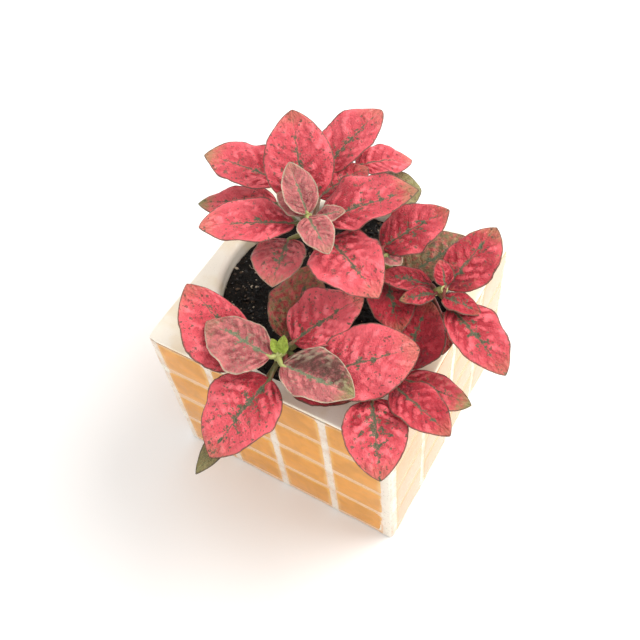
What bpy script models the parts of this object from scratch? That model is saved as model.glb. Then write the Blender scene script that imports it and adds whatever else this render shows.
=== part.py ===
"""Potted polka dot plant: a tiled square planter, its soil and five leafy shoots.

Metres, +Z up. The origin is the middle of the planter's underside and the front face looks along -Y.
"""

import math
from collections import namedtuple

import bmesh
import bpy
from mathutils import Matrix, Vector, noise

MM = 0.001
GAP = 0.3 * MM  # clearance between neighbouring solids
OVERRUN = 5.0 * MM  # how far a cutter goes past the face it cuts

# Planter
POT_WIDTH = 75.0 * MM
POT_HEIGHT = 58.5 * MM
CORE_WIDTH = 68.0 * MM
RIM_THICKNESS = 1.2 * MM
RIM_WIDTH = 74.4 * MM
RIM_EDGE_RADIUS = 0.4 * MM
CAVITY_RADIUS = 32.0 * MM
CAVITY_FLOOR = 5.0 * MM
CAVITY_FLOOR_RADIUS = 3.0 * MM
LIP_RADIUS = 2.0 * MM

# Tiles: four columns by four rows on each side, stack bonded on a mesh-backed sheet
TILE_COLUMNS = 4
TILE_ROWS = 4
TILE_WIDTH = 15.7 * MM
UPRIGHT_JOINT = 2.0 * MM
LEVEL_JOINT = 1.4 * MM
TILE_TOP = POT_HEIGHT - RIM_THICKNESS - GAP
TILE_BOTTOM = 1.8 * MM
TILE_HEIGHT = (TILE_TOP - TILE_BOTTOM - (TILE_ROWS - 1) * LEVEL_JOINT) / TILE_ROWS
TILE_EDGE_RADIUS = 0.6 * MM
SHEET_THICKNESS = 0.8 * MM
SHEET_BACK = CORE_WIDTH / 2 + GAP
SHEET_BOTTOM = 0.0  # the bonded backing reaches down to the planter's underside
TILE_SINK = 0.3 * MM  # how far a tile's back is bedded in its sheet

# Grout: stands a little below the tiles' faces and rounds the corners
GROUT_RECESS = 0.3 * MM
GROUT_BOTTOM = 0.3 * MM
GROUT_CORNER_RADIUS = 1.2 * MM

# Soil
SOIL_RADIUS = CAVITY_RADIUS - GAP
SOIL_LEVEL = 53.8 * MM
SOIL_SIDES = 32
SOIL_RINGS = 4
SOIL_RELIEF = 0.9 * MM
SOIL_GRAIN = 260.0  # lumps per metre
STEM_HOLE_DEPTH = 12.0 * MM
STEM_HOLE_SIDES = 12

# Shoots
STEM_RADIUS = 1.4 * MM
STEM_TIP_SHARE = 0.6
STEM_POINTS = 7
STEM_FOOT = 9.0 * MM  # how far a stem stands down in its hole
STEM_BEND = 0.35  # how far towards the crown its bend lies, seen from above
STEM_HOLE_RADIUS = STEM_RADIUS + 2 * GAP
PETIOLE_RADIUS = 0.7 * MM
PETIOLE_TIP_SHARE = 0.8
PETIOLE_POINTS = 4
PETIOLE_IN_BLADE = 2.5 * MM
PETIOLE_ARCH = 0.06  # rise of its middle, as a share of its length
BLADE_THICKNESS = 0.65 * MM
BLADE_STEPS = 7
BLADE_STEPS_SMALL = 5
BLADE_ACROSS = 4
BLADE_CROWDING = 0.06  # how much closer the steps are near the base and the tip
SMALL_BLADE = 12.0 * MM  # shorter blades take fewer steps and a thinner petiole
SMALL_PETIOLE = 0.6
OUTLINE_POWER = 1.36  # sum of the outline's two exponents: a higher one makes both ends more pointed
OUTLINE_END = 0.4 * MM  # half-width left at the base and the tip
ARCH = 0.16  # fall of the blade's edges from its halves' fold, as a share of the half-width
WAVE = 0.07  # rise and fall of the wavy edges
WAVES = 2.3
WAVE_TURN = 2.4  # radians that the wave shifts from one leaf to the next

# One leaf, in millimetres and degrees: the share of the stem where its petiole leaves, the blade's start
# (x, y, z), compass heading, rise of its chord, length, width, downward curl, roll about the midrib, share
# of the length where it is widest, how much wider its left half is than its right, and its halves' fold.
Leaf = namedtuple(
    "Leaf",
    "node start heading rise length width curl roll widest lean fold",
    defaults=(20, 0, 0.42, 0, 0.28),
)

# Each shoot: the foot of its stem (x, y), its crown (x, y, z) and its leaves.
SHOOTS = {
    "shoot_back_left": {
        "foot": (-6, 5),
        "crown": (-4, -1, 87),
        "leaves": (
            Leaf(1.00, (-3.5, -2, 89), 142, 40, 13.5, 9, curl=10),
            Leaf(1.00, (-3, -3, 89), 324, -2, 13, 9, curl=40),
            Leaf(0.97, (-5, -1, 87), 175, 22, 9, 7),
            Leaf(0.97, (-2, -1, 87), 30, 15, 8, 6),
            Leaf(0.92, (-7, 2, 87), 126, 33, 24.5, 18, curl=15),
            Leaf(0.86, (2, -2, 82), 333, -3, 22, 19, curl=25, widest=0.36, lean=-0.05),
            Leaf(0.90, (-1, 1, 85), 38, 12, 25, 17, curl=12, widest=0.38, lean=0.18),
            Leaf(0.88, (-7.5, -2.5, 84), 217, 9, 24.3, 15, curl=15, widest=0.46, lean=-0.05),
            Leaf(0.74, (-10, -3, 77), 289, 8, 18, 14, curl=25, lean=-0.1),
            Leaf(0.66, (-11.5, 17, 82), 69, 21, 24, 15, widest=0.5, lean=0.12),
            Leaf(0.66, (-20.5, 10, 82), 195, 17, 21, 16, lean=-0.08),
            Leaf(0.50, (0, 19.5, 76), 50, -10, 17, 15, widest=0.52),
            Leaf(0.58, (-4.5, 24.5, 81.5), 50, -16, 17, 13, lean=0.05),
            Leaf(0.55, (-19.5, 6.5, 77), 205, -1, 22, 12, lean=0.1),
            Leaf(0.78, (-7.5, 9.5, 82), 67, 1, 16.5, 13),
        ),
    },
    "shoot_centre_right": {
        "foot": (12, 9),
        "crown": (17, 1, 80),
        "leaves": (
            Leaf(0.95, (14.5, 3, 80), 51, 16, 19.3, 15, curl=15),
            Leaf(1.00, (17, 1, 80), 336, 20, 6, 5, curl=10),
            Leaf(0.70, (20.5, 4, 69.5), 61, 10, 20, 15, curl=10, lean=0.15),
            Leaf(0.62, (16, 2, 70.4), 308, -3, 18, 12.5),
        ),
    },
    "shoot_right": {
        "foot": (21, 6),
        "crown": (33, 1, 76),
        "leaves": (
            Leaf(0.92, (33, 2, 75), 76, 16, 20.5, 14, curl=15, lean=-0.15),
            Leaf(0.86, (36, -2, 74), 332, -8, 22, 13.5, lean=0.1),
            Leaf(1.00, (33, 2, 76), 135, 37, 7, 5.5, curl=10),
            Leaf(1.00, (33.5, -0.5, 74.5), 356, 0, 10.3, 6.5, curl=40, lean=-0.2, fold=0.6),
            Leaf(0.90, (31, 0, 74), 218, -2, 9.2, 6),
            Leaf(0.80, (28.5, 3.5, 72), 200, 8, 14.5, 8),
            Leaf(0.70, (32.5, 0.5, 66.5), 298, -16, 11.5, 8),
        ),
    },
    "shoot_front_right": {
        "foot": (19, -13),
        "crown": (32, -22.5, 66),
        "leaves": (
            Leaf(0.86, (28.5, -29.5, 65), 303, -4, 21, 16, curl=25),
            Leaf(0.95, (32, -24.5, 66), 340, 4, 19, 12),
            Leaf(0.78, (31.5, -20, 63), 3, 0, 18.6, 11, lean=-0.2),
            Leaf(0.88, (31, -18.5, 65), 95, 11, 20, 16, widest=0.4),
            Leaf(1.00, (32, -20.5, 66), 110, 60, 5, 4),
        ),
    },
    "shoot_front_left": {
        "foot": (0, -17),
        "crown": (3, -32, 69),
        "leaves": (
            Leaf(1.00, (4, -31, 70), 100, 50, 5, 3, curl=0),
            Leaf(1.00, (3, -31, 70), 150, 50, 4, 2.5, curl=0),
            Leaf(0.96, (2, -33, 70), 182, 14, 18.5, 15, lean=0.25),
            Leaf(0.96, (6, -34, 70.5), 2, -2, 20, 14.5, lean=0.12),
            Leaf(0.84, (4, -37, 67), 261, -13, 24, 19.5, curl=25, widest=0.41, lean=-0.06),
            Leaf(0.80, (4, -25.5, 68), 60, 10, 21.5, 17.5, widest=0.39, lean=0.15),
            Leaf(0.72, (-3.5, -33.8, 65), 165, 30, 26, 17.5, lean=0.35),
            Leaf(0.72, (14, -30.4, 66), 36, 14, 26, 19.5, curl=25, roll=15, widest=0.47, lean=-0.06),
            Leaf(0.50, (0, -23, 63), 99, 22, 21, 16),
            Leaf(0.70, (6, -33.5, 65), 10, -10, 18, 12),
            Leaf(0.60, (2.5, -43.5, 63.5), 257, -17, 22, 7.5),
        ),
    },
}

PLASTER = ("planter_white", (0.86, 0.84, 0.79), 0.55)
GLAZE = ("amber_glaze", (0.80, 0.47, 0.17), 0.12)
GROUT = ("cream_grout", (0.82, 0.78, 0.70), 0.8)
PEAT = ("dark_peat", (0.035, 0.025, 0.018), 0.95)
LEAF = ("polka_dot_leaf", (0.72, 0.12, 0.17), 0.5)


# ---------------------------------------------------------------- scene helpers


def clear_scene():
    for obj in list(bpy.data.objects):
        bpy.data.objects.remove(obj, do_unlink=True)


def new_collection(name):
    collection = bpy.data.collections.new(name)
    bpy.context.scene.collection.children.link(collection)
    return collection


def material(finish):
    name, colour, roughness = finish
    mat = bpy.data.materials.get(name)
    if mat is None:
        mat = bpy.data.materials.new(name)
        mat.use_nodes = True
        shader = mat.node_tree.nodes["Principled BSDF"]
        shader.inputs["Base Color"].default_value = (*colour, 1.0)
        shader.inputs["Roughness"].default_value = roughness
        shader.inputs["Metallic"].default_value = 0.0
    return mat


def add_object(name, bm, collection):
    mesh = bpy.data.meshes.new(name)
    bm.to_mesh(mesh)
    bm.free()
    obj = bpy.data.objects.new(name, mesh)
    collection.objects.link(obj)
    return obj


def add_box(name, low, high, collection):
    low, high = Vector(low), Vector(high)
    bm = bmesh.new()
    place = Matrix.Translation((low + high) / 2) @ Matrix.Diagonal((*(high - low), 1.0))
    bmesh.ops.create_cube(bm, size=1.0, matrix=place)
    return add_object(name, bm, collection)


def add_turned(name, profile, steps, collection):
    """A solid of revolution about Z from profile points (radius, height), top to bottom on its outer side."""
    bm = bmesh.new()
    verts = [bm.verts.new((r, 0.0, z)) for r, z in profile]
    for a, b in zip(verts, verts[1:]):
        bm.edges.new((a, b))
    obj = add_object(name, bm, collection)
    screw = obj.modifiers.new("turn", "SCREW")
    screw.axis = "Z"
    screw.steps = screw.render_steps = steps
    screw.use_merge_vertices = True
    screw.merge_threshold = 0.01 * MM
    return obj


def apply_modifiers(obj):
    """Turns an object's evaluated shape, modifiers included, into its own mesh."""
    evaluated = obj.evaluated_get(bpy.context.evaluated_depsgraph_get())
    mesh = bpy.data.meshes.new_from_object(evaluated)
    obj.modifiers.clear()
    old = obj.data
    obj.data = mesh
    bpy.data.meshes.remove(old)


def remove(obj):
    bpy.data.objects.remove(obj, do_unlink=True)


def boolean(obj, operation, tool=None, tools=None, solver="EXACT"):
    """Cuts or joins obj with one tool or a collection of them, and removes the tools."""
    modifier = obj.modifiers.new("boolean", "BOOLEAN")
    modifier.operation = operation
    modifier.solver = solver
    if tools is not None:
        modifier.operand_type = "COLLECTION"
        modifier.collection = tools
    else:
        modifier.object = tool
    bpy.context.view_layer.update()
    apply_modifiers(obj)
    for used in list(tools.objects) if tools is not None else [tool]:
        remove(used)


def finish_part(obj, finish, smooth_angle=None):
    obj.data.materials.clear()
    obj.data.materials.append(material(finish))
    if smooth_angle is not None:
        obj.data.shade_smooth()
        obj.data.set_sharp_from_angle(angle=math.radians(smooth_angle))
    return obj


# ---------------------------------------------------------------- planter


def arc(centre, radius, start, end, steps):
    """Points (r, z) on an arc from start to end degrees."""
    turns = [math.radians(start + (end - start) * i / steps) for i in range(steps + 1)]
    return [(centre[0] + radius * math.cos(a), centre[1] + radius * math.sin(a)) for a in turns]


def make_pot_core(parts, cutters):
    half = CORE_WIDTH / 2
    core = add_box("pot_core", (-half, -half, 0), (half, half, POT_HEIGHT - RIM_THICKNESS / 2), parts)
    edge = RIM_WIDTH / 2
    rim = add_box("rim", (-edge, -edge, POT_HEIGHT - RIM_THICKNESS), (edge, edge, POT_HEIGHT), parts)
    bevel = rim.modifiers.new("edges", "BEVEL")
    bevel.width = RIM_EDGE_RADIUS
    bevel.segments = 2
    bpy.context.view_layer.update()
    apply_modifiers(rim)
    boolean(core, "UNION", tool=rim)

    above = POT_HEIGHT + OVERRUN
    lip = arc((CAVITY_RADIUS + LIP_RADIUS, POT_HEIGHT - LIP_RADIUS), LIP_RADIUS, 90, 180, 3)
    floor_centre = (CAVITY_RADIUS - CAVITY_FLOOR_RADIUS, CAVITY_FLOOR + CAVITY_FLOOR_RADIUS)
    floor = arc(floor_centre, CAVITY_FLOOR_RADIUS, 0, -90, 2)
    mouth = CAVITY_RADIUS + LIP_RADIUS
    profile = [(0.0, above), (mouth, above)] + lip + floor + [(0.0, CAVITY_FLOOR)]
    cavity = add_turned("cavity", profile, SOIL_SIDES, cutters)
    boolean(core, "DIFFERENCE", tool=cavity)
    return finish_part(core, PLASTER, 40)


def tile_places():
    """Centres (x, z) of one side's tiles."""
    width = TILE_COLUMNS * TILE_WIDTH + (TILE_COLUMNS - 1) * UPRIGHT_JOINT
    for column in range(TILE_COLUMNS):
        x = -width / 2 + TILE_WIDTH / 2 + column * (TILE_WIDTH + UPRIGHT_JOINT)
        for row in range(TILE_ROWS):
            yield x, TILE_BOTTOM + TILE_HEIGHT / 2 + row * (TILE_HEIGHT + LEVEL_JOINT)


def make_tile_sheets(parts):
    """Four sheets of sixteen tiles, one to a side, that share the front one's mesh."""
    half = CORE_WIDTH / 2
    back = -SHEET_BACK
    front = back - SHEET_THICKNESS
    sheet = add_box("tile_sheet_front", (-half, front, SHEET_BOTTOM), (half, back, TILE_TOP), parts)
    tiles = new_collection("tiles")
    for x, z in tile_places():
        low = (x - TILE_WIDTH / 2, -POT_WIDTH / 2, z - TILE_HEIGHT / 2)
        high = (x + TILE_WIDTH / 2, front + TILE_SINK, z + TILE_HEIGHT / 2)
        tile = add_box("tile", low, high, tiles)
        bm = bmesh.new()
        bm.from_mesh(tile.data)
        face_edges = [e for e in bm.edges if all(v.co.y < front - TILE_SINK for v in e.verts)]
        bmesh.ops.bevel(
            bm, geom=face_edges, offset=TILE_EDGE_RADIUS, segments=1, profile=0.5, affect="EDGES", material=-1
        )
        bm.to_mesh(tile.data)
        bm.free()
    boolean(sheet, "UNION", tools=tiles)
    bpy.data.collections.remove(tiles)
    finish_part(sheet, GLAZE)
    for name, quarter in (("right", 1), ("back", 2), ("left", 3)):
        copy = bpy.data.objects.new("tile_sheet_" + name, sheet.data)
        copy.rotation_euler.z = quarter * math.pi / 2
        parts.objects.link(copy)


def make_grout(parts, cutters):
    """A lattice in the joints of all four sides, joined by solid corner posts."""
    outer = POT_WIDTH / 2 - GROUT_RECESS
    inner = SHEET_BACK + SHEET_THICKNESS + GAP
    grout = add_box("grout", (-outer, -outer, GROUT_BOTTOM), (outer, outer, TILE_TOP), parts)
    bm = bmesh.new()
    bm.from_mesh(grout.data)
    posts = [e for e in bm.edges if abs(e.verts[0].co.z - e.verts[1].co.z) > POT_HEIGHT / 2]
    bmesh.ops.bevel(
        bm, geom=posts, offset=GROUT_CORNER_RADIUS, segments=2, profile=0.5, affect="EDGES", material=-1
    )
    bm.to_mesh(grout.data)
    bm.free()
    hollow = add_box("hollow", (-inner, -inner, -OVERRUN), (inner, inner, TILE_TOP + OVERRUN), cutters)
    boolean(grout, "DIFFERENCE", tool=hollow)
    pockets = new_collection("pockets")
    for side in range(4):
        turn = Matrix.Rotation(side * math.pi / 2, 4, "Z")
        for x, z in tile_places():
            top_row = z + TILE_HEIGHT / 2 > TILE_TOP - LEVEL_JOINT
            headroom = OVERRUN if top_row else GAP
            low = (x - TILE_WIDTH / 2 - GAP, -POT_WIDTH / 2 - OVERRUN, z - TILE_HEIGHT / 2 - GAP)
            high = (x + TILE_WIDTH / 2 + GAP, -inner + OVERRUN, z + TILE_HEIGHT / 2 + headroom)
            pocket = add_box("pocket", low, high, pockets)
            pocket.data.transform(turn)
    boolean(grout, "DIFFERENCE", tools=pockets)
    bpy.data.collections.remove(pockets)
    return finish_part(grout, GROUT)


# ---------------------------------------------------------------- soil


def make_soil(parts):
    floor = CAVITY_FLOOR + GAP
    height = SOIL_LEVEL - floor
    bm = bmesh.new()
    bmesh.ops.create_cone(
        bm,
        cap_ends=True,
        segments=SOIL_SIDES,
        radius1=SOIL_RADIUS - CAVITY_FLOOR_RADIUS,
        radius2=SOIL_RADIUS,
        depth=height,
        matrix=Matrix.Translation((0, 0, floor + height / 2)),
    )
    top = max(bm.faces, key=lambda face: face.calc_center_median().z)
    ring_width = SOIL_RADIUS / (SOIL_RINGS + 1)
    for _ in range(SOIL_RINGS):
        bmesh.ops.inset_region(bm, faces=[top], thickness=ring_width, use_even_offset=True)
    bmesh.ops.poke(bm, faces=[top])
    bmesh.ops.triangulate(bm, faces=bm.faces)
    for vert in bm.verts:
        if vert.co.z > SOIL_LEVEL - MM:
            vert.co.z += SOIL_RELIEF * noise.noise(vert.co * SOIL_GRAIN)
    soil = add_object("soil", bm, parts)
    holes = new_collection("stem_holes")
    for shoot in SHOOTS.values():
        x, y = (value * MM for value in shoot["foot"])
        bm = bmesh.new()
        bmesh.ops.create_cone(
            bm,
            cap_ends=True,
            segments=STEM_HOLE_SIDES,
            radius1=STEM_HOLE_RADIUS,
            radius2=STEM_HOLE_RADIUS,
            depth=2 * STEM_HOLE_DEPTH,
            matrix=Matrix.Translation((x, y, SOIL_LEVEL)),
        )
        add_object("stem_hole", bm, holes)
    boolean(soil, "DIFFERENCE", tools=holes)
    bpy.data.collections.remove(holes)
    return finish_part(soil, PEAT, 50)


# ---------------------------------------------------------------- shoots


def stem_curve(shoot):
    """A function of the share 0..1 that follows the stem from the soil to its crown."""
    foot = Vector((*shoot["foot"], SOIL_LEVEL / MM))
    crown = Vector(shoot["crown"])
    bend = Vector((*foot.xy.lerp(crown.xy, STEM_BEND), (foot.z + crown.z) / 2))

    def point(share):
        rest = 1.0 - share
        return (rest * rest * foot + 2 * rest * share * bend + share * share * crown) * MM

    return point


def add_tube(name, points, radius, end_share, resolution, collection):
    """A round tube through the points, tapering to end_share of its radius, as a closed mesh."""
    curve = bpy.data.curves.new("path", "CURVE")
    curve.dimensions = "3D"
    curve.bevel_depth = radius
    curve.bevel_resolution = resolution
    curve.use_fill_caps = True
    spline = curve.splines.new("POLY")
    spline.points.add(len(points) - 1)
    for index, (spot, point) in enumerate(zip(spline.points, points)):
        spot.co = (*point, 1.0)
        spot.radius = 1.0 + (end_share - 1.0) * index / (len(points) - 1)
    tube = bpy.data.objects.new("path", curve)
    bpy.context.scene.collection.objects.link(tube)
    bpy.context.view_layer.update()
    evaluated = tube.evaluated_get(bpy.context.evaluated_depsgraph_get())
    mesh = bpy.data.meshes.new_from_object(evaluated)
    bm = bmesh.new()
    bm.from_mesh(mesh)
    bmesh.ops.remove_doubles(bm, verts=bm.verts, dist=0.001 * MM)
    bm.to_mesh(mesh)
    bm.free()
    solid = bpy.data.objects.new(name, mesh)
    solid.matrix_world = tube.matrix_world
    collection.objects.link(solid)
    remove(tube)
    return solid


def outline(t, widest):
    """Half-width of a blade, as a share of its widest, at the share t of its length."""
    base = OUTLINE_POWER * widest
    tip = OUTLINE_POWER - base
    return t**base * (1 - t) ** tip / (widest**base * (1 - widest) ** tip)


class Blade:
    """One leaf's blade: maps (t, v), its shares along and across, to a place."""

    def __init__(self, leaf, phase):
        self.leaf = leaf
        self.start = Vector(leaf.start) * MM
        self.length = leaf.length * MM
        self.phase = phase
        heading = math.radians(leaf.heading)
        self.ahead = Vector((math.cos(heading), math.sin(heading), 0.0))
        self.side = Vector((-self.ahead.y, self.ahead.x, 0.0))

    def midrib(self, t):
        """Place and pitch of the midrib, an arc that falls by the curl over its length."""
        start_pitch = self.leaf.rise + self.leaf.curl / 2
        pitch = math.radians(start_pitch - self.leaf.curl * t)
        half_way = math.radians(start_pitch - self.leaf.curl * t / 2)
        reach = self.length * t
        along = self.ahead * math.cos(half_way) + Vector((0, 0, math.sin(half_way)))
        return self.start + along * reach, pitch

    def point(self, t, v):
        place, pitch = self.midrib(t)
        normal = Vector((0, 0, math.cos(pitch))) - self.ahead * math.sin(pitch)
        roll = math.radians(self.leaf.roll)
        across = self.side * math.cos(roll) + normal * math.sin(roll)
        up = normal * math.cos(roll) - self.side * math.sin(roll)
        half = self.leaf.width / 2 * MM * outline(t, self.leaf.widest) * (1 + self.leaf.lean * v)
        half = max(half, OUTLINE_END)
        wave = WAVE * math.sin(2 * math.pi * WAVES * t + self.phase + v)
        lift = self.leaf.fold * abs(v) + (wave - ARCH) * v * v
        return place + (across * v + up * lift) * half


def add_blade(name, blade, collection):
    steps = BLADE_STEPS_SMALL if blade.length < SMALL_BLADE else BLADE_STEPS
    bm = bmesh.new()
    bmesh.ops.create_grid(bm, x_segments=steps, y_segments=BLADE_ACROSS, size=0.5)
    bmesh.ops.triangulate(bm, faces=bm.faces)
    for vert in bm.verts:
        u = vert.co.x + 0.5
        t = u - BLADE_CROWDING * math.sin(2 * math.pi * u)
        vert.co = blade.point(min(max(t, 0.0), 1.0), vert.co.y * 2)
    obj = add_object(name, bm, collection)
    shell = obj.modifiers.new("thickness", "SOLIDIFY")
    shell.thickness = BLADE_THICKNESS
    shell.offset = 0.0
    bpy.context.view_layer.update()
    apply_modifiers(obj)
    return obj


def petiole_points(stem, blade):
    """From inside the stem in a shallow arch to the blade's base, and on under its midrib."""
    root = stem(blade.leaf.node)
    start, _ = blade.midrib(0.0)
    inside, _ = blade.midrib(PETIOLE_IN_BLADE / blade.length)
    span = (start - root).length
    points = []
    for index in range(PETIOLE_POINTS - 1):
        share = index / (PETIOLE_POINTS - 2)
        point = root.lerp(start, share)
        point.z += PETIOLE_ARCH * span * math.sin(math.pi * share)
        points.append(point)
    return points + [inside]


def tidy_union(obj):
    """Keeps a union's largest body, without the stray points and specks that thin crossing pieces leave."""
    bm = bmesh.new()
    bm.from_mesh(obj.data)
    between = [v for v in bm.verts if len(v.link_edges) == 2 and all(len(f.verts) > 3 for f in v.link_faces)]
    bmesh.ops.dissolve_verts(bm, verts=between)
    unseen = set(bm.faces)
    bodies = []
    while unseen:
        body = [unseen.pop()]
        for face in body:
            for edge in face.edges:
                if len(edge.link_faces) == 2:
                    found = unseen.intersection(edge.link_faces)
                    unseen -= found
                    body.extend(found)
        bodies.append(body)
    bodies.sort(key=len)
    for body in bodies[:-1]:
        bmesh.ops.delete(bm, geom=body, context="FACES")
    bm.to_mesh(obj.data)
    bm.free()


def make_shoot(name, shoot, parts):
    stem = stem_curve(shoot)
    foot = stem(0.0) - Vector((0, 0, STEM_FOOT))
    points = [foot] + [stem(index / (STEM_POINTS - 1)) for index in range(STEM_POINTS)]
    body = add_tube(name, points, STEM_RADIUS, STEM_TIP_SHARE, 1, parts)
    pieces = new_collection(name + "_pieces")
    for index, leaf in enumerate(shoot["leaves"]):
        blade = Blade(leaf, phase=WAVE_TURN * index)
        add_blade("blade", blade, pieces)
        radius = PETIOLE_RADIUS * (SMALL_PETIOLE if blade.length < SMALL_BLADE else 1.0)
        add_tube("petiole", petiole_points(stem, blade), radius, PETIOLE_TIP_SHARE, 0, pieces)
    boolean(body, "UNION", tools=pieces, solver="MANIFOLD")
    bpy.data.collections.remove(pieces)
    tidy_union(body)
    return finish_part(body, LEAF, 60)


def main():
    clear_scene()
    parts = new_collection("potted_polka_dot_plant")
    cutters = new_collection("cutters")
    make_pot_core(parts, cutters)
    make_tile_sheets(parts)
    make_grout(parts, cutters)
    make_soil(parts)
    for name, shoot in SHOOTS.items():
        make_shoot(name, shoot, parts)


main()
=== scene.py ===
"""Potted polka dot plant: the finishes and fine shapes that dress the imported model.

Metres, +Z up. The origin is the middle of the planter's underside and the front face looks along -Y.
"""

import math
import random
from collections import namedtuple

import bmesh
import bpy
from bpy.props import FloatProperty, FloatVectorProperty, IntProperty, PointerProperty
from mathutils import Matrix, Vector, noise


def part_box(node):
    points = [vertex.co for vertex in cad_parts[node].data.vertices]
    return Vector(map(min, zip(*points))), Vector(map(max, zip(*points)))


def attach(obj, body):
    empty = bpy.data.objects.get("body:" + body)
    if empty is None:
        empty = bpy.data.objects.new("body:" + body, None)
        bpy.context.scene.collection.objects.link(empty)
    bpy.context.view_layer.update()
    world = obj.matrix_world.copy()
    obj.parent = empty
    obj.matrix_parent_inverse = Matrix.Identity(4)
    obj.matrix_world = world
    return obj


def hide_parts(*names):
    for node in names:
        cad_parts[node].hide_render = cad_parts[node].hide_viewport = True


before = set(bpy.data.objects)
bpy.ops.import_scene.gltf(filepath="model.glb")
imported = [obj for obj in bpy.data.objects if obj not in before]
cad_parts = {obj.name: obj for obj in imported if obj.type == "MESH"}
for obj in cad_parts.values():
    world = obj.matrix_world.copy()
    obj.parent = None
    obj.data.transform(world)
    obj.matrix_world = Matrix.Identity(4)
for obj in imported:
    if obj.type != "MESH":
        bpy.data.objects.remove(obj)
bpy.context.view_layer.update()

bl_info = {
    "name": "Potted Polka Dot Plant",
    "version": (1, 0, 0),
    "blender": (4, 5, 0),
    "location": "View3D > Sidebar > Plant",
    "description": "Dresses a polka dot plant in a tiled planter",
    "category": "Object",
}

MM = 0.001
TINY = 0.001 * MM  # places closer than this count as the same

# ---------------------------------------------------------------- sizes

RIM_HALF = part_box("pot_core")[1].x
RIM_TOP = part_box("pot_core")[1].z
CORE_HALF = 34.0 * MM
RIM_THICKNESS = 1.2 * MM
CAVITY_RADIUS = 32.0 * MM
CAVITY_FLOOR = 5.0 * MM
LIP_RADIUS = 2.0 * MM
RIM_EDGE_RADIUS = 0.5 * MM
CAVITY_CORNER = 3.0 * MM
FOOT_BEVEL = 0.3 * MM
SQUARE_POWER = 60.0  # how square the outer plan is: a higher power has a tighter corner
ROUND_STEPS = 256  # steps round the planter body, closer together at its corners
CORNER_CROWDING = 0.7

TILE_FACE = -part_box("tile_sheet_front")[0].y
TILE_FIELD_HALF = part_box("tile_sheet_front")[1].x
TILE_BOTTOM = 1.8 * MM
TILE_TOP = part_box("tile_sheet_front")[1].z
SHEET_BACK = -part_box("tile_sheet_front")[1].y
SHEET_THICKNESS = 0.8 * MM
TILE_COUNT = 4  # columns and rows on each side
UPRIGHT_JOINT = 2.0 * MM
LEVEL_JOINT = 1.4 * MM
TILE_WIDTH = (2 * TILE_FIELD_HALF - (TILE_COUNT - 1) * UPRIGHT_JOINT) / TILE_COUNT
TILE_HEIGHT = (TILE_TOP - TILE_BOTTOM - (TILE_COUNT - 1) * LEVEL_JOINT) / TILE_COUNT
TILE_COLUMNS = [
    -TILE_FIELD_HALF + TILE_WIDTH / 2 + n * (TILE_WIDTH + UPRIGHT_JOINT) for n in range(TILE_COUNT)
]
TILE_ROWS = [TILE_BOTTOM + TILE_HEIGHT / 2 + n * (TILE_HEIGHT + LEVEL_JOINT) for n in range(TILE_COUNT)]
TILE_EDGE = 0.5 * MM
# width and rise of each step towards the middle of a tile
TILE_CROWN = ((0.9 * MM, 0.045 * MM), (1.6 * MM, 0.05 * MM), (2.2 * MM, 0.04 * MM))
TILE_SINK = 0.3 * MM
TILE_SHIFT = 0.12 * MM
PAINTED_REFLECTION_SIDES = {"right": 1.0, "back": 0.6}  # sides whose tiles are painted paler: painted reflection of the bright light on them
SIDES = ("front", "right", "back", "left")

GROUT_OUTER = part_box("grout")[1].x
GROUT_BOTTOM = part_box("grout")[0].z
GROUT_CORNER = 1.2 * MM
GROUT_INNER = SHEET_BACK + SHEET_THICKNESS + 0.3 * MM
GROUT_STEP = 0.3 * MM
GROUT_STEP_WIDE = 0.9 * MM
GROUT_SINK = 0.9 * MM
SMEAR_BAND = 2.0 * MM
CROSSING_BLOB = 2.2 * MM
BLOB_RISE = 0.12 * MM
CORNER_SMEAR = 6.0 * MM
HOLLOW = 0.2 * MM
FILM = 0.07 * MM  # thickness of a smear where it leaves the joint

SOIL_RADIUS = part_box("soil")[1].x
SOIL_LEVEL = 53.8 * MM
SOIL_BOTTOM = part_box("soil")[0].z
SOIL_RINGS = 56
SOIL_STEPS = 200

STEM_RADIUS = 1.4 * MM
STEM_TIP_SHARE = 0.6
STEM_BEND = 0.35
STEM_FOOT = 9.0 * MM
STEM_POINTS = 40
STEM_SIDES = 16
PETIOLE_RADIUS = 0.7 * MM
PETIOLE_POINTS = 14
PETIOLE_SIDES = 10
PETIOLE_ARCH = 0.06
SMALL_BLADE = 12.0 * MM
SMALL_THICKNESS = 0.6
EDGE_THINNING = 0.45
SMALL_PETIOLE = 0.6
RIDGE_POINTS = 14
OUTLINE_POWER = 1.36
OUTLINE_END = 0.14 * MM
ARCH = 0.16
WAVE = 0.07
WAVES = 2.3
WAVE_TURN = 2.4
BLADE_CROWDING = 0.06
LEAF_STEPS = 56
LEAF_ACROSS = 28
VEINS = 7
YOUNG_VEINS = 9
YOUNG_FROM = 0.5
VEIN_SWEEP = 0.26
VEIN_STAGGER = 0.6
VEIN_GAP_SHARE = 0.75  # distance between side veins, as a share of the blade's length over their number
RUFFLE = 0.2
FULL_WIDTH = 15.0  # millimetres, from which a leaf is puckered to the full
FOLD_SOFTNESS = 0.1
QUILT_LENGTH = 2.3  # millimetres of blade to each swelling, along and across
QUILT_WIDTH = 1.7
GROOVE = 0.14 * MM

OLIVE = (0.33, 0.30, 0.12)
BROWN_GREEN = (0.085, 0.032, 0.022)
GREY_GREEN = (0.27, 0.23, 0.15)
LEAF_GREEN = (0.16, 0.21, 0.075)
BUD_GREEN = (0.30, 0.46, 0.045)
PALE_VEIN = (0.36, 0.42, 0.24)
EDGE_GREEN = (0.10, 0.08, 0.048)
SPECK_BROWN = (0.15, 0.04, 0.04)
# wine red of the deepest creases and wrinkles: partly the skin's own colour, partly painted shade
WINE_AND_SHADE = (0.20, 0.012, 0.022)
VEIN_GREY = (0.13, 0.16, 0.09)
PALE_EDGE = (0.50, 0.42, 0.30)
UNDERSIDE = (0.36, 0.16, 0.15)

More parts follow.
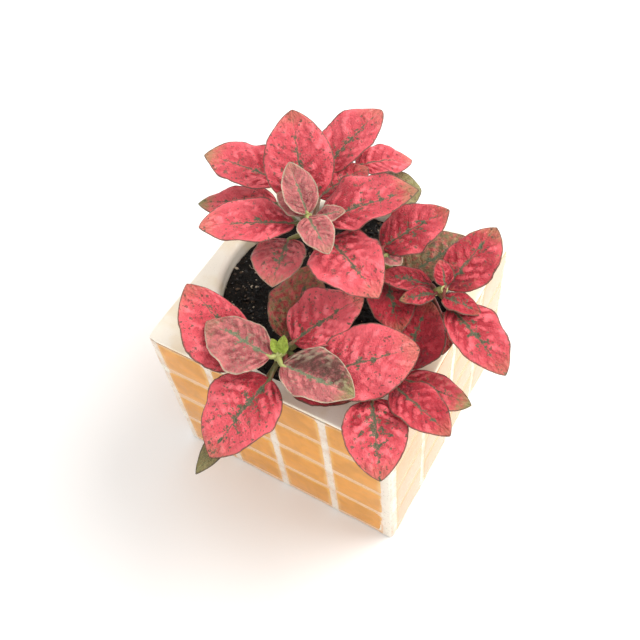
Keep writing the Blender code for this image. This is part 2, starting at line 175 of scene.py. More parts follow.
# specks in three sizes: how close their cells are, the widest in shares of a cell, how many show, how dark
SPECK_SIZES = ((1.9, 0.42, 0.25, 0.9), (1.1, 0.42, 0.5, 1.0), (0.6, 0.34, 0.42, 0.85))

FLOOR_HALF = 0.9
KEY_SIZE = 0.7
KEY_PLACE = (0.42, 0.40, 0.62)
CAMERA_PLACE = (0.0807, -0.11565, 0.242175)
CAMERA_TURN, CAMERA_RISE, CAMERA_TIP = 36.8, 54.6, -8.2
CAMERA_LENS = 46.755

# One leaf: the share of the stem where its petiole leaves, the blade's start, heading, rise, length and
# width, then its curl, roll, widest place, lean and fold, as in the part, in millimetres and degrees. The
# rest is its look, mostly from 0 to 1: how deep its red is, partly its own darker red and partly painted
# shade where a leaf lies in the shade of others, how green it is, how young and wrinkled, how many spots
# it has, how broad the green along its midrib is, how green its tip is, and how much greener its left
# half is. A bud is all green, above 1.
Leaf = namedtuple(
    "Leaf",
    "node start heading rise length width curl roll widest lean fold deep green young spots rib tip split",
    defaults=(20, 0, 0.42, 0, 0.28, 0.2, 0.0, 0.0, 0.4, 0.5, 0.3, 0.0),
)

SHOOTS = {
    "shoot_back_left": {
        "foot": (-6, 5),
        "crown": (-4, -1, 87),
        "leaves": (
            Leaf(1.00, (-3.5, -2, 89), 142, 40, 13.5, 9, curl=10, young=0.8, green=0.1, spots=0.1, rib=0.2),
            Leaf(1.00, (-3, -3, 89), 324, -2, 13, 9, curl=40, young=0.7, deep=0.1, spots=0.1, rib=0.2),
            Leaf(0.97, (-5, -1, 87), 175, 22, 9, 7, young=0.8, spots=0.2, rib=0.2),
            Leaf(0.97, (-2, -1, 87), 30, 15, 8, 6, young=0.8, spots=0.2, rib=0.2),
            Leaf(0.92, (-7, 2, 87), 126, 33, 24.5, 18, curl=15, spots=0.8, rib=0.5),
            Leaf(
                0.86, (2, -2, 82), 333, -3, 22, 19, curl=25, widest=0.36, lean=-0.05,
                deep=0.1, spots=0.35, rib=0.5,
            ),
            Leaf(
                0.90, (-1, 1, 85), 38, 12, 25, 17, curl=12, widest=0.38, lean=0.18,
                deep=0.2, rib=0.8, tip=0.7, young=0.15,
            ),
            Leaf(
                0.88, (-7.5, -2.5, 84), 217, 9, 24.3, 15, curl=15, widest=0.46, lean=-0.05,
                spots=0.35, rib=0.6, deep=0.12,
            ),
            Leaf(0.74, (-10, -3, 77), 289, 8, 18, 14, curl=25, lean=-0.1, green=0.2, young=0.5, rib=0.9),
            Leaf(
                0.66, (-11.5, 17, 82), 69, 21, 24, 15, widest=0.5, lean=0.12,
                spots=0.2, rib=1.0, deep=0.1,
            ),
            Leaf(0.66, (-20.5, 10, 82), 195, 17, 21, 16, lean=-0.08, green=0.15, spots=0.5, tip=0.7),
            Leaf(0.50, (0, 19.5, 76), 50, -10, 17, 15, widest=0.52, green=0.8, tip=1.0),
            Leaf(0.58, (-4.5, 24.5, 81.5), 50, -16, 17, 13, lean=0.05, spots=0.1, rib=0.1, young=0.25),
            Leaf(
                0.55, (-19.5, 6.5, 77), 205, -1, 22, 12, lean=0.1,
                green=0.12, spots=0.2, tip=1.0, young=0.3, deep=-0.3,
            ),
            Leaf(0.78, (-7.5, 9.5, 82), 67, 1, 16.5, 13, deep=0.5, spots=0.7),
        ),
    },
    "shoot_centre_right": {
        "foot": (12, 9),
        "crown": (17, 1, 80),
        "leaves": (
            Leaf(0.95, (14.5, 3, 80), 51, 16, 19.3, 15, curl=15, deep=0.45, spots=0.5, rib=0.9),
            Leaf(1.00, (17, 1, 80), 336, 20, 6, 5, curl=10, young=0.8, spots=0.0, rib=0.1),
            Leaf(
                0.70, (20.5, 4, 69.5), 61, 10, 20, 15, curl=10, lean=0.15,
                green=0.6, young=0.4, spots=0.8,
            ),
            Leaf(0.62, (16, 2, 70.4), 308, -3, 18, 12.5, deep=0.8, spots=0.6),
        ),
    },
    "shoot_right": {
        "foot": (21, 6),
        "crown": (33, 1, 76),
        "leaves": (
            Leaf(
                0.92, (33, 2, 75), 76, 16, 20.5, 14, curl=15, lean=-0.15,
                deep=0.5, tip=0.5, green=0.25, spots=0.5,
            ),
            Leaf(0.86, (36, -2, 74), 332, -8, 22, 13.5, lean=0.1, deep=0.35, rib=0.9, spots=0.3),
            Leaf(1.00, (33, 2, 76), 135, 37, 7, 5.5, curl=10, deep=0.6, spots=0.0, rib=0.0),
            Leaf(
                1.00, (33.5, -0.5, 74.5), 356, 0, 10.3, 6.5, curl=40, lean=-0.2, fold=0.6,
                deep=0.7, spots=0.0,
            ),
            Leaf(0.90, (31, 0, 74), 218, -2, 9.2, 6, deep=0.6, tip=0.8),
            Leaf(0.80, (28.5, 3.5, 72), 200, 8, 14.5, 8, deep=0.6, spots=0.6),
            Leaf(0.70, (32.5, 0.5, 66.5), 298, -16, 11.5, 8, deep=0.8, green=0.3),
        ),
    },
    "shoot_front_right": {
        "foot": (19, -13),
        "crown": (32, -22.5, 66),
        "leaves": (
            Leaf(0.86, (28.5, -29.5, 65), 303, -4, 21, 16, curl=25, deep=0.2, rib=1.6, spots=0.5),
            Leaf(0.95, (32, -24.5, 66), 340, 4, 19, 12, deep=0.5, rib=0.35, spots=0.1),
            Leaf(0.78, (31.5, -20, 63), 3, 0, 18.6, 11, lean=-0.2, deep=0.3, green=0.3, tip=1.0, spots=0.1),
            Leaf(0.88, (31, -18.5, 65), 95, 11, 20, 16, widest=0.4, deep=0.8, rib=0.3),
            Leaf(1.00, (32, -20.5, 66), 110, 60, 5, 4, young=0.7, spots=0.0),
        ),
    },
    "shoot_front_left": {
        "foot": (0, -17),
        "crown": (3, -32, 69),
        "leaves": (
            Leaf(1.00, (4, -31, 70), 100, 50, 5, 3, curl=0, green=2.0, young=1.0, spots=0.0, rib=0.0),
            Leaf(1.00, (3, -31, 70), 150, 50, 4, 2.5, curl=0, green=2.0, young=1.0, spots=0.0, rib=0.0),
            Leaf(
                0.96, (2, -33, 70), 182, 14, 18.5, 15, lean=0.25,
                young=0.9, green=0.35, rib=0.5, split=-0.15,
            ),
            Leaf(
                0.96, (6, -34, 70.5), 2, -2, 20, 14.5, lean=0.12,
                young=0.9, green=0.05, rib=0.5, tip=0.8, split=0.6,
            ),
            Leaf(
                0.84, (4, -37, 67), 261, -13, 24, 19.5, curl=25, widest=0.41, lean=-0.06,
                deep=0.1, rib=1.6, spots=0.7,
            ),
            Leaf(
                0.80, (4, -25.5, 68), 60, 10, 21.5, 17.5, widest=0.39, lean=0.15,
                deep=0.05, rib=0.7, spots=0.7,
            ),
            Leaf(0.72, (-3.5, -33.8, 65), 165, 30, 26, 17.5, lean=0.35, spots=0.9),
            Leaf(
                0.72, (14, -30.4, 66), 36, 14, 26, 19.5, curl=25, roll=15, widest=0.47, lean=-0.06,
                deep=0.1, spots=0.5,
            ),
            Leaf(0.50, (0, -23, 63), 99, 22, 21, 16, deep=0.45, green=0.5, spots=0.6),
            Leaf(0.70, (6, -33.5, 65), 10, -10, 18, 12, deep=0.9, spots=0.2),
            Leaf(0.60, (2.5, -43.5, 63.5), 257, -17, 22, 7.5, green=0.9, rib=0.1),
        ),
    },
}


# ---------------------------------------------------------------- settings


def colour_property(name, text, value):
    return FloatVectorProperty(
        name=name, description=text, subtype="COLOR", size=3, min=0, max=1, default=value
    )


class PlanterSettings(bpy.types.PropertyGroup):
    plaster: colour_property("Plaster", "Colour of the planter's body and rim", (0.95, 0.89, 0.77))
    glaze: colour_property("Glaze", "Colour of the tiles' glaze where it lies thick", (0.64, 0.262, 0.020))
    glaze_edge: colour_property("Glaze edge", "Colour of the glaze where it runs thin", (0.80, 0.46, 0.13))
    grout: colour_property("Grout", "Colour of the clean grout", (0.90, 0.81, 0.70))
    grout_stain: colour_property(
        "Grout stain", "Colour of the grout where the glaze tints it", (0.82, 0.5, 0.27)
    )
    tile_tilt: FloatProperty(
        name="Tile tilt",
        description="Most that a tile leans from true",
        subtype="ANGLE",
        default=math.radians(0.4),
        min=0,
        max=math.radians(3),
    )
    smear: FloatProperty(
        name="Grout smear",
        description="How far the grout runs over the tiles' edges",
        unit="LENGTH",
        default=0.35 * MM,
        min=0,
        max=2 * MM,
    )


class SoilSettings(bpy.types.PropertyGroup):
    peat: colour_property("Peat", "Colour of the damp peat", (0.004, 0.0035, 0.003))
    bark: colour_property("Bark", "Colour of the driest crumbs", (0.17, 0.11, 0.065))
    relief: FloatProperty(
        name="Relief",
        description="Height of the soil's lumps",
        unit="LENGTH",
        default=1.5 * MM,
        min=0,
        max=3 * MM,
    )
    crumbs: IntProperty(
        name="Crumbs", description="How many loose crumbs lie on the soil", default=4200, min=0
    )
    fibres: IntProperty(name="Fibres", description="How many root fibres lie on the soil", default=110, min=0)


class FoliageSettings(bpy.types.PropertyGroup):
    coral: colour_property("Coral", "Colour of a fully lit leaf", (0.88, 0.125, 0.155))
    # deep red is partly the leaves' own darker red and partly painted shade, in the creases and on leaves in
    # the shade of others
    deep_red_and_shade: colour_property("Deep red", "Colour of a leaf that grew in the shade", (0.45, 0.018, 0.034))
    # the pink is a painted highlight, laid on the swellings where light would catch them
    pink: colour_property("Pink", "Colour of the swellings between a lit leaf's creases", (0.98, 0.24, 0.27))
    vein_green: colour_property("Vein green", "Colour of the midrib and the spots", (0.045, 0.09, 0.045))
    young: colour_property("Young", "Colour of the wrinkled young leaves", (0.52, 0.15, 0.15))
    blade: FloatProperty(
        name="Blade",
        description="Thickness of a leaf between its veins",
        unit="LENGTH",
        default=0.32 * MM,
        min=0.2 * MM,
        max=0.6 * MM,
    )
    pucker: FloatProperty(
        name="Pucker",
        description="Height of the swellings between the side veins",
        unit="LENGTH",
        default=0.48 * MM,
        min=0,
        max=1 * MM,
    )


class StageSettings(bpy.types.PropertyGroup):
    floor: colour_property("Floor", "Colour of the floor", (0.93, 0.925, 0.92))
    sky: FloatProperty(name="Sky", description="Strength of the even light all round", default=1.0, min=0)
    key: FloatProperty(
        name="Key", description="Power of the large soft light", unit="POWER", default=6.5, min=0
    )


# ---------------------------------------------------------------- shared tools


class Value:
    """An output of a shader node: it adds, subtracts and multiplies as a number does, through Math nodes."""

    def __init__(self, shading, socket):
        self.shading = shading
        self.socket = socket

    def __add__(self, other):
        return self.shading.math("ADD", self, other)

    def __sub__(self, other):
        return self.shading.math("SUBTRACT", self, other)

    def __rsub__(self, other):
        return self.shading.math("SUBTRACT", other, self)

    def __mul__(self, other):
        return self.shading.math("MULTIPLY", self, other)

    def __abs__(self):
        return self.shading.math("ABSOLUTE", self)


class Shading:
    """A material under construction: each call adds one node and gives back its output."""

    def __init__(self, name):
        self.material = bpy.data.materials.new(name)
        self.material.use_nodes = True
        self.tree = self.material.node_tree
        self.surface = self.tree.nodes["Principled BSDF"]

    def plug(self, socket, value):
        if isinstance(value, Value):
            self.tree.links.new(value.socket, socket)
        elif value is not None:
            if socket.type == "RGBA" and len(value) == 3:
                value = (*value, 1.0)
            socket.default_value = value

    def set(self, **values):
        for name, value in values.items():
            self.plug(self.surface.inputs[name.replace("_", " ").title().replace("Ior", "IOR")], value)

    def node(self, kind, inputs, **settings):
        """A new node with its settings and its inputs, which are given by name or by number."""
        made = self.tree.nodes.new(kind)
        for name, value in settings.items():
            setattr(made, name, value)
        for name, value in inputs.items():
            self.plug(made.inputs[name], value)
        return made

    def output(self, made, name=0):
        return Value(self, made.outputs[name])

    def place(self):
        return self.output(self.node("ShaderNodeTexCoord", {}), "Object")

    def attribute(self, name):
        return self.output(self.node("ShaderNodeAttribute", {}, attribute_name=name), "Vector")

    def split(self, vector):
        made = self.node("ShaderNodeSeparateXYZ", {0: vector})
        return [Value(self, socket) for socket in made.outputs]

    def join(self, x, y, z):
        return self.output(self.node("ShaderNodeCombineXYZ", {0: x, 1: y, 2: z}))

    def math(self, operation, a, b=None):
        return self.output(self.node("ShaderNodeMath", {0: a, 1: b}, operation=operation))

    def vector(self, operation, a, b):
        other = "Scale" if operation == "SCALE" else 1
        return self.output(self.node("ShaderNodeVectorMath", {0: a, other: b}, operation=operation))

    def ramp(self, value, low, high, start=0.0, end=1.0):
        """A smooth step from start to end as value goes from low to high."""
        inputs = dict(enumerate((value, low, high, start, end)))
        return self.output(self.node("ShaderNodeMapRange", inputs, interpolation_type="SMOOTHSTEP"))

    def noise(self, place, scale, detail=3.0, roughness=0.5, distortion=0.0, colour=False):
        inputs = {
            "Vector": place, "Scale": scale, "Detail": detail,
            "Roughness": roughness, "Distortion": distortion,
        }
        return self.output(self.node("ShaderNodeTexNoise", inputs), "Color" if colour else "Fac")

    def cells(self, place, scale, feature="F1"):
        """Distance and colour of a cell pattern."""
        made = self.node("ShaderNodeTexVoronoi", {"Vector": place, "Scale": scale}, feature=feature)
        return self.output(made, 0), self.output(made, 1)

    def mix(self, share, a, b):
        return self.output(self.node("ShaderNodeMix", {"Factor": share, 6: a, 7: b}, data_type="RGBA"), 2)

    def bump(self, height, distance):
        return self.output(self.node("ShaderNodeBump", {"Height": height, "Distance": distance}))


def add_piece(name, bm, material, node=None, smooth_angle=40):
    """Turns a finished bmesh into a piece that rides on the planter and may stand for a CAD node."""
    mesh = bpy.data.meshes.new(name)
    bm.to_mesh(mesh)
    bm.free()
    materials = material if isinstance(material, (list, tuple)) else [material]
    for each in materials:
        mesh.materials.append(each)
    mesh.shade_smooth()
    mesh.set_sharp_from_angle(angle=math.radians(smooth_angle))
    piece = bpy.data.objects.new(name, mesh)
    bpy.context.scene.collection.objects.link(piece)
    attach(piece, "root")
    if node is not None:
        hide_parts(node)
    return piece


def tinted(colour, shares):
    """A colour with each of its channels scaled by its own share."""
    return tuple(channel * share for channel, share in zip(colour, shares))


def smooth_step(low, high, value):
    share = min(max((value - low) / (high - low), 0.0), 1.0)
    return share * share * (3 - 2 * share)


def sweep(bm, path, radii, sides):
    """A closed tube along a path: a round cap, extruded from point to point. Gives its verts by ring."""
    section = turn = last = cap = None
    rings = []
    for index, (point, radius) in enumerate(zip(path, radii)):
        before = path[max(index - 1, 0)]
        after = path[min(index + 1, len(path) - 1)]
        tangent = (after - before).normalized()
        turn = tangent.to_track_quat("Z", "X") if turn is None else last.rotation_difference(tangent) @ turn
        last = tangent
        size = Matrix.Diagonal((radius, radius, radius, 1))
        matrix = Matrix.Translation(point) @ turn.to_matrix().to_4x4() @ size
        if cap is None:
            made = bmesh.ops.create_circle(bm, cap_ends=True, segments=sides, radius=1.0, matrix=matrix)
            verts = made["verts"]
            cap = verts[0].link_faces[0]
        else:
            grown = bmesh.ops.extrude_face_region(bm, geom=[cap], use_keep_orig=len(rings) == 1)["geom"]
            verts = [part for part in grown if isinstance(part, bmesh.types.BMVert)]
            cap = next(part for part in grown if isinstance(part, bmesh.types.BMFace))
            bmesh.ops.transform(bm, matrix=matrix @ section.inverted(), verts=verts)
        section = matrix
        rings.append(verts)
    return rings


def cleaned(bm, distance=TINY):
    """Merges doubles, then turns every face of the closed mesh outwards."""
    bmesh.ops.remove_doubles(bm, verts=bm.verts, dist=distance)
    bmesh.ops.recalc_face_normals(bm, faces=bm.faces)


def add_block(bm, low, high, bevel=0.0, segments=2):
    """A box between two corners, with its edges rounded, in a bmesh. Gives back its faces."""
    low, high = Vector(low), Vector(high)
    place = Matrix.Translation((low + high) / 2) @ Matrix.Diagonal((*(high - low), 1.0))
    verts = bmesh.ops.create_cube(bm, size=1.0, matrix=place)["verts"]
    faces = list({face for vert in verts for face in vert.link_faces})
    if bevel:
        edges = list({edge for vert in verts for edge in vert.link_edges})
        bevelled = bmesh.ops.bevel(
            bm, geom=edges, offset=bevel, segments=segments, profile=0.5, affect="EDGES", material=-1
        )
        faces = list({face for face in faces if face.is_valid} | set(bevelled["faces"]))
    return faces


def arc(centre, radius, start, end, steps):
    """Points (r, z) on an arc from start to end degrees."""
    turns = [math.radians(start + (end - start) * step / steps) for step in range(steps + 1)]
    return [(centre[0] + radius * math.cos(turn), centre[1] + radius * math.sin(turn)) for turn in turns]


def line(start, end, steps):
    """Points (r, z) along a straight line, without its end."""
    (r0, z0), (r1, z1) = start, end
    return [(r0 + (r1 - r0) * step / steps, z0 + (z1 - z0) * step / steps) for step in range(steps)]


def turned(profile, steps):
    """A bmesh turned about Z from profile points (r, z) that start and end on the axis."""
    bm = bmesh.new()
    verts = [bm.verts.new((r, 0.0, z)) for r, z in profile]
    edges = [bm.edges.new(pair) for pair in zip(verts, verts[1:])]
    bmesh.ops.spin(
        bm, geom=verts + edges, cent=(0, 0, 0), axis=(0, 0, 1), dvec=(0, 0, 0),
        angle=2 * math.pi, steps=steps, use_merge=True,
    )
    cleaned(bm)
    return bm


# ---------------------------------------------------------------- planter


def plaster_material(colour):
    """Smooth off-white plaster, faintly uneven, with pores and a warmer tint in clouds."""
    s = Shading("planter_plaster")
    place = s.place()
    clouds = s.noise(place, 90.0, detail=4.0)
    pores = s.noise(place, 2600.0, detail=2.0, roughness=0.7)
    warm = tinted(colour, (0.93, 0.86, 0.74))
    tone = s.mix(s.ramp(clouds, 0.42, 0.66), colour, warm)
    tone = s.mix(s.ramp(pores, 0.63, 0.74, 0.0, 0.35), tone, (0.45, 0.40, 0.33))
    s.set(
        base_color=tone,
        roughness=s.ramp(clouds, 0.3, 0.7, 0.34, 0.5),
        normal=s.bump(clouds * 2.0 + pores * 0.35, 0.06 * MM),
    )
    return s.material


def make_planter_body(settings):
    mouth = CAVITY_RADIUS + LIP_RADIUS
    shoulder = RIM_TOP - RIM_THICKNESS
    rim_edge = arc((RIM_HALF - RIM_EDGE_RADIUS, RIM_TOP - RIM_EDGE_RADIUS), RIM_EDGE_RADIUS, 90, 0, 4)
    lip = arc((mouth, RIM_TOP - LIP_RADIUS), LIP_RADIUS, 180, 90, 8)
    floor_corner = arc(
        (CAVITY_RADIUS - CAVITY_CORNER, CAVITY_FLOOR + CAVITY_CORNER), CAVITY_CORNER, 270, 360, 5
    )
    inside_wall = line((CAVITY_RADIUS, CAVITY_FLOOR + CAVITY_CORNER), lip[0], 6)[1:]
    profile = (
        line((0.0, CAVITY_FLOOR), floor_corner[0], 2)
        + floor_corner
        + inside_wall
        + lip
        + line(lip[-1], rim_edge[0], 12)[1:]
        + rim_edge
        + [(RIM_HALF, shoulder + 0.1 * MM), (RIM_HALF - 0.1 * MM, shoulder)]
        + line((CORE_HALF, shoulder), (CORE_HALF, FOOT_BEVEL), 6)
        + [(CORE_HALF, FOOT_BEVEL), (CORE_HALF - FOOT_BEVEL, 0.0)]
        + line((CORE_HALF - 4 * MM, 0.0), (0.0, 0.0), 3)
        + [(0.0, 0.0)]
    )
    bm = turned(profile, ROUND_STEPS)
    for vert in bm.verts:
        radius = vert.co.xy.length
        if radius < TINY:
            continue
        outside = vert.co.z < shoulder + 0.05 * MM and radius > CAVITY_RADIUS + 0.5 * MM
        under = vert.co.z < 0.5 * MM
        square = 1.0 if outside or under else smooth_step(mouth, RIM_HALF, radius)
        angle = math.atan2(vert.co.y, vert.co.x)
        angle -= CORNER_CROWDING / 4 * math.sin(4 * angle)
        powers = abs(math.cos(angle)) ** SQUARE_POWER + abs(math.sin(angle)) ** SQUARE_POWER
        reach = powers ** (-1 / SQUARE_POWER)
        radius *= 1 + (reach - 1) * square
        vert.co.x, vert.co.y = radius * math.cos(angle), radius * math.sin(angle)
        if vert.co.z > RIM_TOP - 0.05 * MM:
            vert.co.z += 0.07 * MM * (noise.noise(vert.co * 120) - 1)
    bmesh.ops.recalc_face_normals(bm, faces=bm.faces)
    add_piece("planter_body", bm, plaster_material(settings.plaster), node="pot_core")


def glaze_material(thick, thin):
    """Amber glaze that pools mid-tile and runs thin and pale at its edges; painted reflection pales the right
    and back sides.
    """
    s = Shading("tile_glaze")
    place = s.place()
    u, v, tone = s.split(s.attribute("tile_place"))
    edge = s.math("MAXIMUM", abs(u), abs(v))
    clouds = s.noise(place, 170.0, detail=4.0, distortion=0.6)
    ripple = s.noise(place, 330.0, detail=1.0)
    specks = s.noise(place, 1500.0, detail=2.0)
    bright = tinted(thick, (1.25, 1.25, 1.5))
    pooled = s.mix(s.ramp(clouds + s.math("FRACT", tone) * 0.35, 0.4, 0.8), thick, bright)
    dark = tinted(thick, (0.62, 0.5, 0.4))
    pooled = s.mix(s.ramp(specks + tone * -0.1, 0.66, 0.76, 0.0, 0.5), pooled, dark)
    # painted reflection: the tiles of the right and back sides are paled, as if washed out by the light on
    # those sides
    pale = tuple(c * 0.3 + 0.55 * d for c, d in zip(thick, (0.76, 0.58, 0.50)))
    pooled = s.mix(s.ramp(tone, 0.4, 1.4, 0.0, 0.8), pooled, pale)
    colour = s.mix(
        s.ramp(edge + (clouds - 0.5) * 0.25, 0.8, 0.98, 0.0, 0.9),
        pooled,
        s.mix(s.ramp(tone, 0.4, 1.4, 0.0, 0.7), thin, pale),
    )
    s.set(
        base_color=colour,
        roughness=s.ramp(clouds, 0.3, 0.7, 0.1, 0.22),
        specular_ior_level=0.28,
        coat_weight=0.12,
        coat_roughness=0.03,
        normal=s.bump(ripple + clouds * 0.5, 0.16 * MM),
    )
    return s.material


def backing_material():
    """Cement-coloured glass mesh that the tiles are bonded to."""
    s = Shading("tile_backing")
    x, y, z = s.split(s.place())
    across = s.math("SINE", (x + y) * 2100.0)
    up = s.math("SINE", z * 2100.0)
    strands = s.ramp(s.math("MAXIMUM", across, up), 0.4, 0.9)
    grain = s.noise(s.place(), 900.0, detail=4.0)
    colour = s.mix(strands, s.mix(grain, (0.36, 0.33, 0.29), (0.55, 0.52, 0.47)), (0.72, 0.70, 0.66))
    s.set(base_color=colour, roughness=0.85, normal=s.bump(strands + grain, 0.1 * MM))
    return s.material


def tile_centres():
    """Centres (x, z) of one side's tiles, as seen from outside."""
    return [(x, z) for x in TILE_COLUMNS for z in TILE_ROWS]


def add_tile(bm, layer, x, z, draw, tilt, pale):
    """One cushion-edged tile with a crowned face, a little out of true, as laid by hand."""
    back = -SHEET_BACK - SHEET_THICKNESS + TILE_SINK
    crown = sum(depth for _, depth in TILE_CROWN)
    low = (x - TILE_WIDTH / 2, -TILE_FACE + crown, z - TILE_HEIGHT / 2)
    high = (x + TILE_WIDTH / 2, back, z + TILE_HEIGHT / 2)
    faces = add_block(bm, low, high, bevel=TILE_EDGE, segments=4)
    faces = list({linked for each in faces for vert in each.verts for linked in vert.link_faces})
    face = max(
        (each for each in faces if each.calc_center_median().y < low[1] + TINY),
        key=lambda each: each.calc_area(),
    )
    for thickness, depth in TILE_CROWN:
        bmesh.ops.inset_region(bm, faces=[face], thickness=thickness, depth=depth, use_even_offset=True)
        faces = list({linked for each in faces for vert in each.verts for linked in vert.link_faces})
    verts = list({vert for each in faces for vert in each.verts})
    # tone holds a random share plus the side's share of painted reflection
    tone = draw.random() * 0.4 + pale
    for vert in verts:
        u = (vert.co.x - x) / TILE_WIDTH * 2
        v = (vert.co.z - z) / TILE_HEIGHT * 2
        vert[layer] = (u, v, tone)
    middle = Vector((x, (low[1] + high[1]) / 2, z))
    lean = Matrix.Rotation(draw.uniform(-tilt, tilt), 3, "X")
    lean = lean @ Matrix.Rotation(draw.uniform(-tilt, tilt), 3, "Z")
    lean = lean @ Matrix.Rotation(draw.uniform(-tilt, tilt) / 2, 3, "Y")
    bmesh.ops.rotate(bm, verts=verts, cent=middle, matrix=lean)
    bmesh.ops.translate(
        bm, verts=verts, vec=(draw.uniform(-1, 1) * TILE_SHIFT, 0, draw.uniform(-1, 1) * TILE_SHIFT)
    )


def make_tiles(settings):
    glaze = glaze_material(settings.glaze[:], settings.glaze_edge[:])
    backing = backing_material()
    for quarter, side in enumerate(SIDES):
        draw = random.Random("tiles " + side)
        bm = bmesh.new()
        layer = bm.verts.layers.float_vector.new("tile_place")
        for x, z in tile_centres():
            add_tile(bm, layer, x, z, draw, settings.tile_tilt, PAINTED_REFLECTION_SIDES.get(side, 0.0))
        low = (-CORE_HALF, -SHEET_BACK - SHEET_THICKNESS, 0.0)
        slab = add_block(bm, low, (CORE_HALF, -SHEET_BACK, TILE_TOP), bevel=0.1 * MM, segments=1)
        for face in slab:
            face.material_index = 1
        bmesh.ops.rotate(
            bm, verts=bm.verts, cent=(0, 0, 0), matrix=Matrix.Rotation(quarter * math.pi / 2, 3, "Z")
        )
        bmesh.ops.recalc_face_normals(bm, faces=bm.faces)
        add_piece(f"glazed_tiles_{side}", bm, [glaze, backing], node=f"tile_sheet_{side}")


def grout_material(colour, stained):
    """Sanded off-white grout, stained amber in the level joints, whiter where it is piled, with glints."""
    s = Shading("grout_sanded")
    place = s.place()
    level, piled, _ = s.split(s.attribute("grout_look"))
    clouds = s.noise(place, 260.0, detail=5.0)
    grain = s.noise(place, 2400.0, detail=3.0, roughness=0.7)
    _, grain_colour = s.cells(place, 2600.0)
    shine, _, _ = s.split(grain_colour)
    grey = tinted(colour, (0.86, 0.80, 0.76))
    tone = s.mix(s.ramp(clouds, 0.38, 0.68), colour, grey)
    stain = level + piled * -0.9 + (clouds - 0.5) * 1.2
    tone = s.mix(s.ramp(stain, -0.05, 0.6, 0.0, 0.85), tone, stained)
    tone = s.mix(s.ramp(piled + (clouds - 0.5), 0.5, 1.0, 0.0, 0.8), tone, (0.92, 0.88, 0.76))
    tone = s.mix(s.ramp(grain, 0.6, 0.76, 0.0, 0.35), tone, (0.50, 0.40, 0.27))
    s.set(
        base_color=tone,
        roughness=s.ramp(shine, 0.85, 0.97, 0.55, 0.15),
        normal=s.bump(clouds * 1.5 + grain, 0.22 * MM),
    )
    return s.material


def crowded_lines(low, high, edges):
    """Positions from low to high, close together near the tiles' edges and wider apart between them."""
    lines = [low]
    while lines[-1] < high:
        near = min(abs(lines[-1] + GROUT_STEP / 2 - edge) for edge in edges) < SMEAR_BAND
        lines.append(lines[-1] + (GROUT_STEP if near else GROUT_STEP_WIDE))
    stretch = (high - low) / (lines[-1] - low)
    return [low + (place - low) * stretch for place in lines]


def inside_tile(position, centres, width):
    """How far a position lies inside the nearest tile's span, negative in a joint."""
    return width / 2 - min(abs(position - centre) for centre in centres)


def tile_surface(depth):
    """Height of a tile's glazed face over the grout's nominal face, at a distance in from its edge."""
    stand = TILE_FACE - GROUT_OUTER - sum(rise for _, rise in TILE_CROWN)
    if depth < TILE_EDGE:
        return stand - TILE_EDGE + math.sqrt(TILE_EDGE**2 - (TILE_EDGE - depth) ** 2)
    reach = TILE_EDGE
    for width, rise in TILE_CROWN:
        stand += rise * smooth_step(reach, reach + width, depth)
        reach += width
    return stand


def grout_level(along, height, side, smear):
    """How far the grout stands out from its nominal face, smears over the tiles included, and its look.

    The look is how far the spot lies in a level joint, and how thick the grout is piled.
    """
    in_column = inside_tile(along, TILE_COLUMNS, TILE_WIDTH)
    in_row = inside_tile(height, TILE_ROWS, TILE_HEIGHT)
    depth = min(in_column, in_row)
    spot = Vector((along, height, side * 0.2))
    rough = 0.04 * MM * noise.noise(spot * 1400) + 0.05 * MM * noise.noise(spot * 500)
    crossing = max(0.0, 1 - math.hypot(max(in_column, 0.0), max(in_row, 0.0)) / CROSSING_BLOB)
    ragged = 0.5 + 1.6 * noise.noise(spot * 150) + 0.9 * noise.noise(spot * 600)
    blob = max(0.3 + 1.3 * noise.noise(spot * 75 + Vector((2, 6, 4))), 0.0)
    reach = smear * ragged + CROSSING_BLOB * crossing * blob * (0.8 + 0.9 * noise.noise(spot * 500))
    corner = smooth_step(CORNER_SMEAR, 0.0, GROUT_OUTER - along) if side == 0 else 0.0
    reach += corner * CORNER_SMEAR * (0.3 + 0.5 * noise.noise(spot * 110 + Vector((3, 1, 2))))
    full = smooth_step(-0.35, 0.45, noise.noise(spot * 90 + Vector((7, 5, 1))) + corner)
    middle = min(max(-depth / (LEVEL_JOINT / 2), 0.0), 1.0)
    level = tile_surface(0.3 * MM) * (0.7 + 0.3 * full) - HOLLOW * (1 - full) * middle + rough
    level += BLOB_RISE * crossing * blob
    in_level_joint = smooth_step(-0.3 * MM, 0.6 * MM, in_column)
    piled = max(crossing * min(blob, 1.0), corner, smooth_step(0.3 * MM, 1.0 * MM, depth))
    look = (in_level_joint, piled, 0.0)
    if depth > 0:
        level -= max(depth - 0.5 * MM, 0.0) * 1.5
        thin = (FILM + BLOB_RISE * crossing * blob) * (1 - depth / max(reach, 0.01 * MM))
        film = tile_surface(depth) + thin + rough * 0.5
        level = max(level, film if depth < reach else tile_surface(depth) - (depth - reach))
    return max(level, -GROUT_SINK), look


